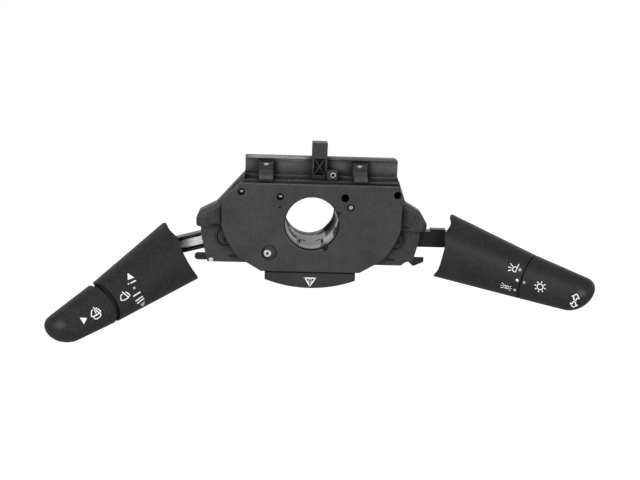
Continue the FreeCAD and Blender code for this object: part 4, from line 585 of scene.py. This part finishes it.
def grain_group():
    """Fine moulding grain: two sizes of noise for height, and for tone a slow and a speckled one."""
    group, given, made = new_group("moulding_grain", {"Vector": None, "Grain": 2600.0, "Speckle": 0.5},
                                   ("Height", "Tone"))
    fine = noise(group, given["Vector"], given["Grain"], 3.0, 0.6)
    cells = add_node(group, "ShaderNodeTexVoronoi", {"Vector": given["Vector"],
                     "Scale": given["Grain"]}, feature="SMOOTH_F1").outputs["Distance"]
    slow = noise(group, given["Vector"], 60.0, 5.0, 0.65)
    speck = noise(group, given["Vector"], 620.0, 3.0, 0.7)
    tone = add_node(group, "ShaderNodeMix", {"Factor": given["Speckle"], "A": slow, "B": speck})
    group.links.new(maths(group, "ADD", fine, cells), made["Height"])
    group.links.new(remap(group, tone.outputs[0], 0.3, 0.7), made["Tone"])
    return group


def crevice_shade_group():
    """Painted shade: one in narrow gaps and deep holes, nothing on open faces."""
    group, given, made = new_group("painted_crevice_shade", {"Reach": 0.008})
    open_share = add_node(group, "ShaderNodeAmbientOcclusion", {"Distance": given["Reach"]}, samples=6)
    group.links.new(remap(group, open_share.outputs["AO"], 0.92, 0.5), made["Mask"])
    return group


def band_group():
    """A band on a round wall about the column: one between two angles and between two depths.

    The angle is that of (x, -z): nothing straight down, and growing towards the right.
    """
    group, given, made = new_group("ring_band", {"Vector": None, "First": 0.0, "Last": 1.0,
                                                 "Front": 0.0, "Rear": 1.0, "Within": 1.0})
    place = add_node(group, "ShaderNodeSeparateXYZ", {0: given["Vector"]}).outputs
    turn = maths(group, "ARCTAN2", place["X"], maths(group, "MULTIPLY", place["Z"], -1.0))
    level = add_node(group, "ShaderNodeCombineXYZ", {0: place["X"], 2: place["Z"]}).outputs[0]
    mask = maths(group, "LESS_THAN", vector_maths(group, "LENGTH", level), given["Within"])
    for value, edges, soft in ((turn, ("First", "Last"), 0.03),
                               (place["Y"], ("Front", "Rear"), 0.0003)):
        for edge, way in zip(edges, (1.0, -1.0)):
            past = maths(group, "SUBTRACT", value, given[edge])
            mask = maths(group, "MULTIPLY", mask, remap(group, past, -way * soft, way * soft))
    group.links.new(mask, made["Mask"])
    return group


def dust_and_top_light_group():
    """Dust and painted top light: one on faces that look up, nothing on upright ones, with uneven specks.
    """
    group, given, made = new_group("dust_and_painted_top_light", {"Vector": None})
    facing = add_node(group, "ShaderNodeSeparateXYZ",
                      {0: add_node(group, "ShaderNodeTexCoord").outputs["Normal"]})
    upward = remap(group, facing.outputs["Z"], 0.25, 0.85)
    specks = remap(group, noise(group, given["Vector"], 480.0, 5.0, 0.7), 0.3, 0.65, 0.3)
    group.links.new(maths(group, "MULTIPLY", upward, specks), made["Mask"])
    return group


def light_and_shade_patch_group():
    """A patch of painted light and shade: one at a centre, fading to nothing at the place's own reach."""
    group, given, made = new_group("painted_light_and_shade_patch", {"Vector": None, "Centre": None, "Reach": None})
    away = vector_maths(group, "SUBTRACT", given["Vector"], given["Centre"])
    far = vector_maths(group, "LENGTH", vector_maths(group, "DIVIDE", away, given["Reach"]))
    fade = remap(group, far, 1.0, 0.3, kind="SMOOTHSTEP")
    uneven = remap(group, noise(group, given["Vector"], 900.0, 3.0), 0.3, 0.6, 0.55)
    group.links.new(maths(group, "MULTIPLY", fade, uneven), made["Mask"])
    return group


def edge_wear_and_highlight_group():
    """Where edges are paler, from wear and painted highlight: the bent normal of a small bevel against the
    face's own normal.
    """
    group, given, made = new_group("worn_and_highlighted_edges", {"Vector": None, "Reach": 0.0006})
    bent = add_node(group, "ShaderNodeBevel", {"Radius": given["Reach"]}, samples=4).outputs["Normal"]
    flat = add_node(group, "ShaderNodeNewGeometry").outputs["Normal"]
    edge = remap(group, vector_maths(group, "DOT_PRODUCT", bent, flat), 0.995, 0.90)
    patchy = remap(group, noise(group, given["Vector"], 320.0, 4.0), 0.42, 0.62)
    group.links.new(maths(group, "MULTIPLY", edge, patchy), made["Mask"])
    return group


def use_group(tree, group, **values):
    """What a node group puts out in a material, with the material's own values."""
    return add_node(tree, "ShaderNodeGroup", values, node_tree=group).outputs


def blend_in(tree, below, mask, share, colour):
    """Lays a colour over what is below, where a mask says, as far as a share says."""
    return mix_colours(tree, maths(tree, "MULTIPLY", mask, share), below, colour)


def new_material(name):
    """A material with its tree, its shader's inputs and the place on the object."""
    material = bpy.data.materials.new(name)
    material.use_nodes = True
    tree = material.node_tree
    place = add_node(tree, "ShaderNodeTexCoord").outputs["Object"]
    return material, tree, tree.nodes["Principled BSDF"].inputs, place


def finish_surface(tree, shader, colour, roughness, height, strength, relief):
    """Joins a colour, a roughness and a relief to the shader."""
    bump = add_node(tree, "ShaderNodeBump", {"Height": height, "Strength": strength,
                    "Distance": relief})
    tree.links.new(colour, shader["Base Color"])
    tree.links.new(roughness, shader["Roughness"])
    tree.links.new(bump.outputs["Normal"], shader["Normal"])


def plastic(name, colour, roughness, grain=2600.0, relief=0.00002, edge_wear_and_highlight=0.5, sheen=0.4, speckle=0.5,
            dust_and_top_light=0.5, crevice_shade=0.85, patches=(), bands=(), mottle=0.33):
    """Moulded plastic: grain in its relief, an uneven tone, edges paler from wear and painted highlight,
    dust and painted top light on faces that look up, painted shade in crevices.

    A patch is a place of painted light and shade: its centre and its reach in millimetres, and its tone.
    A band is painted light and shade on a stretch of a wall round the column: its first and last
    angle in degrees, counted from straight down towards the right, its front and rear in millimetres,
    its tone, and how far from the column it ends. A tone is how many times paler it is than the plastic.
    """
    material, tree, shader, place = new_material(name)
    skin = use_group(tree, GRAIN, Vector=place, Grain=grain, Speckle=speckle)
    look = mix_colours(tree, skin["Tone"], shade(colour, 1 - mottle), shade(colour, 1 + mottle))
    # Paler edges from wear and painted highlight, and paler upward faces from dust and painted top light
    for group, share, tone in ((EDGE_WEAR_AND_HIGHLIGHT, edge_wear_and_highlight, 3.2), (DUST_AND_TOP_LIGHT, dust_and_top_light, 3.0)):
        mask = use_group(tree, group, Vector=place)["Mask"]
        look = blend_in(tree, look, mask, share, shade(colour, tone))
    # Painted light and shade at each patch
    for centre, reach, tone in patches:
        mask = use_group(tree, LIGHT_AND_SHADE_PATCH, Vector=place, Centre=Vector(centre) * MM,
                         Reach=Vector(reach) * MM)["Mask"]
        look = blend_in(tree, look, mask, 1.0, shade(colour, tone))
    # Painted light and shade along each band
    for first, last, front, rear, tone, within in bands:
        mask = use_group(tree, BAND, Vector=place, First=math.radians(first), Last=math.radians(last),
                         Front=front * MM, Rear=rear * MM, Within=within * MM)["Mask"]
        look = blend_in(tree, look, mask, 1.0, shade(colour, tone))
    # Painted shade: crevices and deep holes darkened towards near black
    look = blend_in(tree, look, use_group(tree, PAINTED_CREVICE_SHADE)["Mask"], crevice_shade, shade(colour, 0.05))
    rough = remap(tree, skin["Tone"], 0.0, 1.0, roughness - 0.07, roughness + 0.07)
    finish_surface(tree, shader, look, rough, skin["Height"], 0.35, relief)
    shader["Specular IOR Level"].default_value = 0.5 * sheen
    return material


def metal(name, colour, roughness, streak=(1.0, 1.0, 1.0)):
    """Plated or drawn metal: streaks of brightness and fine scratches along one direction."""
    material, tree, shader, place = new_material(name)
    drawn = add_node(tree, "ShaderNodeMapping", {"Vector": place, "Scale": streak}).outputs[0]
    lines = noise(tree, drawn, 1800.0, 4.0, 0.7)
    both = maths(tree, "MULTIPLY", lines, noise(tree, place, 170.0, 5.0))
    look = mix_colours(tree, remap(tree, both, 0.12, 0.4), shade(colour, 0.62), shade(colour, 1.15))
    rough = remap(tree, lines, 0.0, 1.0, roughness - 0.08, roughness + 0.12)
    finish_surface(tree, shader, look, rough, lines, 0.3, 0.00001)
    shader["Metallic"].default_value = 1.0
    return material


def paint(name, colour):
    """Printed paint: a little uneven in tone, with worn specks."""
    material, tree, shader, place = new_material(name)
    tone = remap(tree, noise(tree, place, 1500.0, 3.0), 0.3, 0.55)
    tree.links.new(mix_colours(tree, tone, shade(colour, 0.8), shade(colour, 1.0)), shader["Base Color"])
    shader["Roughness"].default_value = 0.6
    return material


def line(start, end, steps=12):
    """Points along a straight stroke."""
    share = np.linspace(0, 1, steps)[:, None]
    return np.array(start) + (np.array(end) - np.array(start)) * share


def way_at(degrees):
    """The direction at an angle in degrees, counted from outward to up."""
    angle = np.radians(degrees)
    return np.stack([np.cos(angle), np.sin(angle)], axis=-1)


def arc(centre, radius, low, high, steps):
    """Points along a round stroke, from one angle to another in degrees."""
    return np.array(centre) + radius * way_at(np.linspace(low, high, steps))


def ribbon(path, width):
    """A stroke's grid: its path, moved to both sides by half its width along its own normal."""
    along = np.gradient(path, axis=0)
    normal = np.stack([-along[:, 1], along[:, 0]], axis=1)
    normal = normal / np.linalg.norm(normal, axis=1)[:, None]
    across = np.linspace(-0.5, 0.5, 3)[None, :, None] * width
    return path[:, None, :] + normal[:, None, :] * across


def disc(centre, radius):
    """A filled dot's grid: rings that close on its centre."""
    angle = np.linspace(0, 2 * np.pi, 24)[:, None]
    ring = np.linspace(0.001, radius, 4)[None, :]
    return np.array(centre) + np.stack([ring * np.cos(angle), ring * np.sin(angle)], axis=-1)


def triangle(first, second, apex):
    """A filled triangle's grid: lines from its base that close on its apex."""
    base = line(first, second, 8)[:, None, :]
    share = np.linspace(0, 0.999, 8)[None, :, None]
    return base + (np.array(apex) - base) * share


def print_on_grip(side, name, body, strokes, material):
    """Lays flat strokes on the front of a grip.

    A stroke's point gives the distance from the mouth and the height. The section's formula, solved
    for the height, gives the angle, and the skin at that angle gives the depth.
    """
    grids = []
    for grid in strokes:
        along, up = grid[..., 0], grid[..., 1]
        top, foot, _ = grip_outline(side, along)
        share = np.clip((up - (top + foot) / 2) / ((top - foot) / 2), -0.999, 0.999)
        angle = np.arcsin(np.sign(share) * np.abs(share) ** (1 / ROUNDNESS))
        back, _ = grip_section(side, along, angle)
        grids.append(to_object(side, along, back - PRINT_LIFT, up))
    lay_print(name, body, grids, material)


def lay_print(name, body, grids, material):
    """Joins the grids of a print into one thin piece."""
    points = np.concatenate([grid.reshape(-1, 3) for grid in grids])
    faces = []
    first = 0
    for grid in grids:
        faces.append(grid_faces(*grid.shape[:2], False, False) + first)
        first += grid.shape[0] * grid.shape[1]
    mesh = bpy.data.meshes.new(name)
    mesh.from_pydata(points, [], np.concatenate(faces).tolist())
    shape = bmesh.new()
    shape.from_mesh(mesh)
    toward = Vector((0, -1, 0))
    for face in shape.faces:
        face.normal_update()
        if face.normal.dot(toward) < 0:
            face.normal_flip()
    shape.to_mesh(mesh)
    shape.free()
    piece = bpy.data.objects.new(name, mesh)
    add_wall(piece, INK, -1)
    dress(piece, body, material)


def soft_path(points):
    """A stroke with its corners rounded: three times, the middle half of each straight piece is kept."""
    path = np.array(points, dtype=float)
    for _ in range(3):
        ahead = path[1:] - path[:-1]
        kept = np.stack([path[:-1] + 0.25 * ahead, path[:-1] + 0.75 * ahead], axis=1)
        path = np.concatenate([path[:1], kept.reshape(-1, 2), path[-1:]])
    return path


def screen_sign(middle, top, half_top, half_foot, height, bow):
    """A windscreen: its top and two sides, and a foot that bows down by bow * (1 - x ** 2)."""
    foot = top - height
    across = np.linspace(-1, 1, 20)
    bowed = np.stack([middle + half_foot * across, foot - bow * (1 - across ** 2)], axis=1)
    sides = soft_path([(middle + 0.2 * half_top, top), (middle + half_top, top),
                       (middle + half_foot, foot), (middle + 0.8 * half_foot, foot - 0.36 * bow)])
    other = soft_path([(middle - half_top, top + 0.2), (middle - half_foot, foot),
                       (middle - 0.8 * half_foot, foot - 0.36 * bow)])
    return [ribbon(path, MEDIUM) for path in (bowed[2:-2], sides, other)]


def lamp_sign(centre, size, facing, beams, beam_length):
    """A small lamp: a round bowl on a flat back, facing outward (1) or inward (-1), and its beams.

    The beams start at 1.75 times its size, at their own tilts in degrees.
    """
    bowl = arc((0, 0), size, 90, 270, 20) * (1.2, 1)
    strokes = [bowl, line((0, -size), (0, size))]
    for tilt in beams:
        way = way_at(180 - tilt)
        start = way * size * 1.75
        strokes.append(line(start, start + way * beam_length))
    flip = np.array([-facing, 1])
    return [ribbon(path * flip + np.array(centre), FINE) for path in strokes]


def sun_sign(centre):
    """A lit lamp: a ring with eight rays."""
    rays = [line(centre + 3.0 * way, centre + 4.3 * way) for way in way_at(np.arange(0, 360, 45))]
    return [ribbon(path, PLAIN) for path in (arc(centre, 2.15, 0, 360, 40), *rays)]


def arrow_sign(foot, way):
    """A hollow block arrow that points up (1) or down (-1) from the middle of its foot."""
    corners = np.array([(-1.0, 0.0), (-1.0, 1.9), (-2.7, 1.9), (0, 4.7), (2.7, 1.9), (1.0, 1.9),
                        (1.0, 0.0), (-1.0, 0.0)]) * np.array([1, way]) + np.array(foot)
    return [ribbon(line(a, b), PLAIN) for a, b in zip(corners, corners[1:])]


def print_left(white, grey):
    """Wiper steps on the left sleeve, and the washer sign on its knob."""
    bars = [line((51.2, 2.8), (46.6, 2.4)), line((53.2, 3.3), (52.2, 3.1)),
            line((54.5, -6.9), (47.9, -6.9)), line((54.4, -11.2), (47.8, -10.8)),
            line((54.0, -13.6), (47.5, -12.9))]
    strokes = [ribbon(path, BOLD) for path in bars]
    strokes.append(triangle((51.6, 5.8), (46.6, 4.9), (48.8, 10.2)))
    strokes += screen_sign(59.8, -1.0, 2.2, 4.0, 3.4, 1.3)
    strokes.append(ribbon(line((59.8, 0.6), (57.8, -5.0)), MEDIUM))
    print_on_grip(LEFT, "left_sleeve_print", "left_stalk", strokes, white)
    dull = [disc((50.5, -1.8), 1.0), triangle((52.3, -15.7), (47.6, -15.2), (49.8, -19.2))]
    print_on_grip(LEFT, "left_sleeve_dull_print", "left_stalk", dull, grey)
    knob = screen_sign(84.3, 0.7, 2.0, 4.0, 3.8, 0.9)
    knob.append(ribbon(line((83.8, 2.3), (82.2, -3.7)), MEDIUM))
    knob.append(ribbon(line((84.1, -0.3), (84.4, -4.2)), THIN))
    knob.append(ribbon(soft_path([(86.6, -3.9), (87.2, -5.6), (85.8, -6.7), (82.6, -6.5),
                                  (81.3, -5.4), (81.8, -3.9)]), PLAIN))
    knob.append(triangle((95.8, 1.0), (91.4, -2.0), (95.7, -4.9)))
    print_on_grip(LEFT, "washer_button_print", "washer_button", knob, white)


def print_right(white, grey):
    """Lamp signs and their dots on the right sleeve, and the lamp and arrow signs on its knob."""
    bowl = soft_path([(65.5, 7.7), (63.4, 7.8), (62.2, 5.6), (63.6, 3.7), (65.3, 4.2)])
    paths = [bowl, line((65.6, 10.4), (65.3, 4.0)), line((62.4, 7.2), (59.4, 8.7)),
             line((61.4, 5.9), (58.8, 5.8)), line((61.8, 4.6), (59.8, 2.9))]
    signs = [ribbon(path, THIN) for path in paths]
    signs += lamp_sign((61.7, -9.7), 1.3, -1, (34, 0, -30), 2.0)
    signs += lamp_sign((62.6, -9.5), 1.3, 1, (30, 0, -34), 1.4)
    signs.append(disc((68.5, -1.3), 1.05))
    print_on_grip(RIGHT, "right_sleeve_print", "right_stalk", signs, white)
    dots = [disc((67.9, 6.8), 1.15), disc((68.8, -9.4), 1.05)]
    print_on_grip(RIGHT, "right_sleeve_dots", "right_stalk", dots, grey)
    knob = sun_sign((86.0, 0.0)) + arrow_sign((112.7, -0.3), 1) + arrow_sign((112.9, -1.8), -1)
    print_on_grip(RIGHT, "light_knob_print", "light_knob", knob, white)
    print_on_grip(RIGHT, "light_knob_dot", "light_knob", [disc((73.9, -1.1), 1.0)], grey)


def hazard_outline():
    """A triangle, point down: three strokes that run a little past its corners."""
    corners = HAZARD_MIDDLE + HAZARD_REACH * way_at((150, 30, -90, 150)) * HAZARD_STRETCH
    strokes = []
    for a, b in zip(corners, corners[1:]):
        past = (b - a) / np.linalg.norm(b - a) * HAZARD_STROKE * 0.8
        strokes.append(ribbon(line(a - past, b + past), HAZARD_STROKE))
    return strokes


def print_hazard(white, grey):
    """The hazard sign on the button's front: a triangle round a grey ring with a bare middle."""
    low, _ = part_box("hazard_button")
    ring = ribbon(arc(HAZARD_MIDDLE, HAZARD_RING, 0, 360, 40), HAZARD_RING_STROKE)
    for name, strokes, paint_used in (("hazard_button_print", hazard_outline(), white),
                                      ("hazard_button_inner_print", [ring], grey)):
        laid = [np.insert(grid, 1, low.y / MM - HAZARD_LIFT, axis=-1) * MM for grid in strokes]
        lay_print(name, "hazard_button", laid, paint_used)


def make_camera():
    """The photograph's view: turned, raised and rolled, with its own lens."""
    turn, height, roll = (math.radians(a) for a in (CAMERA_TURN, CAMERA_HEIGHT, CAMERA_ROLL))
    back = Vector((math.sin(turn) * math.cos(height), -math.cos(turn) * math.cos(height),
                   math.sin(height)))
    level = Vector((math.cos(turn), math.sin(turn), 0))
    above = back.cross(level)
    right = level * math.cos(roll) + above * math.sin(roll)
    up = above * math.cos(roll) - level * math.sin(roll)
    lens = bpy.data.cameras.new("camera")
    lens.lens = CAMERA_LENS
    lens.sensor_width = 36
    camera = bpy.data.objects.new("camera", lens)
    bpy.context.scene.collection.objects.link(camera)
    seat = Matrix((right, up, back)).transposed().to_4x4()
    seat.translation = (Vector(CAMERA_LOOK) + back * CAMERA_DISTANCE) * MM
    camera.matrix_world = seat
    bpy.context.scene.camera = camera


def make_light():
    """A pale world that shows white behind the object, and four soft lamps."""
    world = bpy.data.worlds.new("studio")
    bpy.context.scene.world = world
    world.use_nodes = True
    tree = world.node_tree
    tree.nodes.clear()
    rays = add_node(tree, "ShaderNodeLightPath").outputs
    seen = maths(tree, "MAXIMUM", rays["Is Camera Ray"], rays["Is Transmission Ray"])
    seen = maths(tree, "MAXIMUM", seen, rays["Is Glossy Ray"])
    dim = add_node(tree, "ShaderNodeBackground", {"Color": (1, 1, 1, 1), "Strength": 0.3})
    white = add_node(tree, "ShaderNodeBackground", {"Color": (1, 1, 1, 1), "Strength": 1.0})
    mix = add_node(tree, "ShaderNodeMixShader", {0: seen, 1: dim.outputs[0], 2: white.outputs[0]})
    add_node(tree, "ShaderNodeOutputWorld", {"Surface": mix.outputs[0]})
    lamps = (("key", (-0.5, -1.05, 0.25), 0.5, 9.5), ("fill", (0.8, -0.9, 0.05), 0.7, 4.0),
             ("back", (-0.1, 0.5, 0.9), 0.6, 2.5), ("rear", (1.0, 0.8, -0.05), 0.8, 5.0))
    for name, place, size, power in lamps:
        lamp = bpy.data.lights.new(name, "AREA")
        lamp.size = size
        lamp.energy = power
        stand = bpy.data.objects.new(name, lamp)
        stand.location = place
        stand.rotation_euler = (-Vector(place)).to_track_quat("-Z", "Y").to_euler()
        bpy.context.scene.collection.objects.link(stand)


def make_floor():
    """A wide pale floor, well under the object, that keeps its soft shadow.

    To the camera it also glows, a little near the object and more further off, so that it ends in
    the same white as the world. From below it is clear.
    """
    low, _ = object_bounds()
    height = low.z - FLOOR_DROP
    corners = [(x * FLOOR_HALF, y * FLOOR_HALF, height) for x, y in ((-1, -1), (1, -1), (1, 1), (-1, 1))]
    mesh = bpy.data.meshes.new("floor")
    mesh.from_pydata(corners, [], [(0, 1, 2, 3)])
    floor = bpy.data.objects.new("floor", mesh)
    bpy.context.scene.collection.objects.link(floor)
    material = bpy.data.materials.new("pale_floor")
    material.use_nodes = True
    tree = material.node_tree
    tree.nodes.clear()
    rays = add_node(tree, "ShaderNodeLightPath").outputs
    place = add_node(tree, "ShaderNodeTexCoord").outputs["Object"]
    level = remap(tree, vector_maths(tree, "LENGTH", place), 0.25, 1.6, 0.42, 0.75)
    matt = add_node(tree, "ShaderNodeBsdfDiffuse", {"Color": (0.85, 0.85, 0.85, 1)}).outputs[0]
    glow = add_node(tree, "ShaderNodeEmission", {"Color": (1, 1, 1, 1), "Strength": level}).outputs[0]
    bright = add_node(tree, "ShaderNodeAddShader", {0: matt, 1: glow}).outputs[0]
    mix = add_node(tree, "ShaderNodeMixShader", {0: rays["Is Camera Ray"], 1: matt, 2: bright})
    side = add_node(tree, "ShaderNodeNewGeometry").outputs["Backfacing"]
    clear = add_node(tree, "ShaderNodeBsdfTransparent").outputs[0]
    shown = add_node(tree, "ShaderNodeMixShader", {0: side, 1: mix.outputs[0], 2: clear})
    add_node(tree, "ShaderNodeOutputMaterial", {"Surface": shown.outputs[0]})
    mesh.materials.append(material)


GRAIN = grain_group()
EDGE_WEAR_AND_HIGHLIGHT = edge_wear_and_highlight_group()
LIGHT_AND_SHADE_PATCH = light_and_shade_patch_group()
DUST_AND_TOP_LIGHT = dust_and_top_light_group()
BAND = band_group()
PAINTED_CREVICE_SHADE = crevice_shade_group()

# Painted light and shade, each a centre and a reach in millimetres, and a tone
# Painted glints on the tray under the rail
tray_glints = [((out, -45.0, 31.5), (1.3, 2.5, 1.5), 9.0) for out in (-17.5, -12.5, -8.0)]
# Painted highlights on the clips' beads
clip_highlights = [((out, -40.0, 42.2), (2.6, 3.0, 1.3), 14.0) for out in (-35.7, 36.0)]
# Painted shade on the fixing holes' walls
hole_wall_shade = [((out, -49.0, up), (10.0, 9.0, 6.5), 0.0) for out, up, _ in FIXINGS]
# Painted shade in the post's window
post_window_shade = [((5.05, -37.0, 41.5), (6.4, 3.2, 13.0), 0.0)]
wing_shade = [((out, -46.0, up), (wide, 10.0, high), tone) for out, up, wide, high, tone in
              ((-73.0, -4.3, 9.0, 2.0, 0.1), (-69.3, 4.0, 1.9, 12.0, 0.1),
               (72.0, -3.0, 7.0, 1.8, 0.1), (69.3, 6.0, 1.6, 9.0, 0.2))]
case_shade = [((out, -47.5, up), (wide, 6.0, high), 0.1) for out, up, wide, high in
              ((-65.8, -16.3, 2.8, 3.8), (-59.4, -29.1, 6.5, 1.8),
               (68.3, -14.7, 2.6, 3.4), (62.3, -29.3, 5.5, 1.8))]
# Painted highlight along the rail's lip
lip_highlight = [((out, depth, 46.9 - 0.03 * (out + 27)), (15.0, 4.5, 3.2), 3.4)
            for out in (-40.0, -27.0, -12.0) for depth in (-37.0, -32.0)]
# Painted shade in the fixing holes' mouths
hole_mouth_shade = [((out, -52.9, up), (9.0, 3.0, 9.0), 0.0) for out, up, _ in FIXINGS]
# Painted shade in the plate's pits
plate_pit_shade = [((10.9, -55.9, -18.8), (3.2, 2.0, 3.2), 0.0), ((20.0, -55.9, 8.6), (2.6, 2.0, 2.0), 0.0)]
# Painted glints on the screws' heads
screw_glints = [((out + 0.3, -55.0, up + 0.2), (1.6, 1.5, 1.0), 110.0) for out, up in SCREWS]
# Painted highlights on the knobs' tips
tip_highlight = {side: [(to_object(side, along, -9.0, up) / MM, (5.0, 5.0, 4.0), tone)]
            for side, along, up, tone in ((LEFT, 109.5, 3.4, 3.0), (RIGHT, 114.8, 5.8, 4.0))}

# The finishes, each a colour, a roughness and what it has of grain, wear, dust, painted light and shade
# Painted glints, highlights and shade on the carrier
carrier_light_and_shade = tray_glints + clip_highlights + hole_wall_shade + post_window_shade + wing_shade
carrier_black = plastic("carrier_black", (0.036, 0.036, 0.037), 0.5, sheen=0.22, dust_and_top_light=0.9,
                        crevice_shade=0.95, patches=carrier_light_and_shade, mottle=0.6)
rail_black = plastic("rail_black", (0.082, 0.082, 0.083), 0.45, edge_wear_and_highlight=0.9, sheen=0.22, patches=lip_highlight)
plate_black = plastic("plate_black", (0.040, 0.040, 0.0405), 0.55, grain=3200.0, edge_wear_and_highlight=0.7, sheen=0.2,
                      dust_and_top_light=0.9, crevice_shade=0.95, patches=hole_mouth_shade + plate_pit_shade, bands=PLATE_BANDS)
case_black = plastic("case_black", (0.037, 0.037, 0.038), 0.45, sheen=0.24, dust_and_top_light=0.9, crevice_shade=0.95,
                     patches=case_shade, mottle=0.5)
button_black = plastic("button_black", (0.03, 0.03, 0.0305), 0.5, grain=3200.0, edge_wear_and_highlight=0.3, sheen=0.2)
grip_look = {"colour": (0.018, 0.018, 0.0185), "roughness": 0.5, "grain": 3600.0, "relief": 0.00004,
             "edge_wear_and_highlight": 0.2, "sheen": 0.24, "speckle": 0.75, "dust_and_top_light": 0.0, "crevice_shade": 0.8, "mottle": 0.6}
grip_black = plastic("grip_black", **grip_look)
knob_black = {side: plastic(f"knob_black_{SIDE_NAME[side]}", **grip_look, patches=tip_highlight[side])
              for side in (LEFT, RIGHT)}
screw_black = plastic("screw_black", (0.005, 0.005, 0.005), 0.35, grain=900.0, relief=0.00001, edge_wear_and_highlight=0.0,
                      sheen=0.12, dust_and_top_light=0.0, crevice_shade=0.2, patches=screw_glints)
acetal = plastic("natural_acetal", (0.5, 0.5, 0.47), 0.4, grain=900.0, relief=0.00001, edge_wear_and_highlight=0.0, dust_and_top_light=0.0)
duct_black = plastic("duct_black", (0.013, 0.013, 0.013), 0.3, grain=1200.0, relief=0.00001,
                     edge_wear_and_highlight=0.8, sheen=0.35, dust_and_top_light=0.9)
ring_grey = plastic("ring_grey", (0.43, 0.43, 0.43), 0.4, grain=1200.0, relief=0.00001,
                    edge_wear_and_highlight=0.2, sheen=0.12, dust_and_top_light=0.0, bands=RING_BANDS)
collar_grey = plastic("collar_grey", (0.17, 0.17, 0.17), 0.45, edge_wear_and_highlight=0.4, dust_and_top_light=0.0, sheen=0.2,
                      crevice_shade=0.4, bands=COLLAR_BANDS)
zinc = metal("zinc_steel", (0.62, 0.62, 0.6), 0.34, (0.12, 1.0, 1.0))
nickel = metal("nickel_plate", (0.72, 0.72, 0.71), 0.25)
spring_wire = metal("spring_wire", (0.42, 0.42, 0.42), 0.3)
brass = metal("contact_brass", (0.74, 0.58, 0.33), 0.3)
white_print = paint("white_print", (0.86, 0.86, 0.84))
grey_print = paint("grey_print", (0.36, 0.36, 0.36))

# Each slot's finish and how far its edges are rounded, and the nodes with a finish of their own
FINISHES = {
    "carrier_plastic": (carrier_black, 0.3), "plate_plastic": (plate_black, 0.2),
    "case_plastic": (case_black, 0.3), "grip_plastic": (grip_black, 0.4),
    "inner_plastic": (acetal, 0.15), "ring_plastic": (ring_grey, 0.2), "zinc_steel": (zinc, 0.12),
    "black_steel": (screw_black, 0.12), "spring_steel": (spring_wire, 0.0), "brass": (brass, 0.05),
}
OWN_FINISH = {"top_rail": rail_black, "hazard_button": button_black, "threaded_insert": nickel,
              "locating_pin": spring_wire, "column_collar": collar_grey}
for side_name in SIDE_NAME.values():
    OWN_FINISH[side_name + "_arm_duct"] = duct_black
    OWN_FINISH[side_name + "_case_latch"] = duct_black
REMADE = ("left_sleeve", "right_sleeve", "washer_button", "light_knob", "plate_screws")

for subpart in frame["record"]["subparts"]:
    node = subpart["node"]
    if node in REMADE:
        continue
    finish, softness = FINISHES[subpart["material_slot"]]
    finish = OWN_FINISH.get(node, finish)
    if softness:
        moulded(node, finish, softness)
    else:
        frame["nodes"][node].data.materials.clear()
        frame["nodes"][node].data.materials.append(finish)
for each_side in (LEFT, RIGHT):
    make_sleeve(each_side, grip_black)
make_knob(LEFT, "washer_button", knob_black[LEFT])
make_knob(RIGHT, "light_knob", knob_black[RIGHT])
make_screws(screw_black)
make_clip_aprons(carrier_black)
make_hole_shade_discs(duct_black)
make_ring_lug(ring_grey)
print_left(white_print, grey_print)
print_right(white_print, grey_print)
print_hazard(white_print, grey_print)
make_camera()
make_light()
make_floor()

scene = bpy.context.scene
scene.view_settings.view_transform = "Standard"
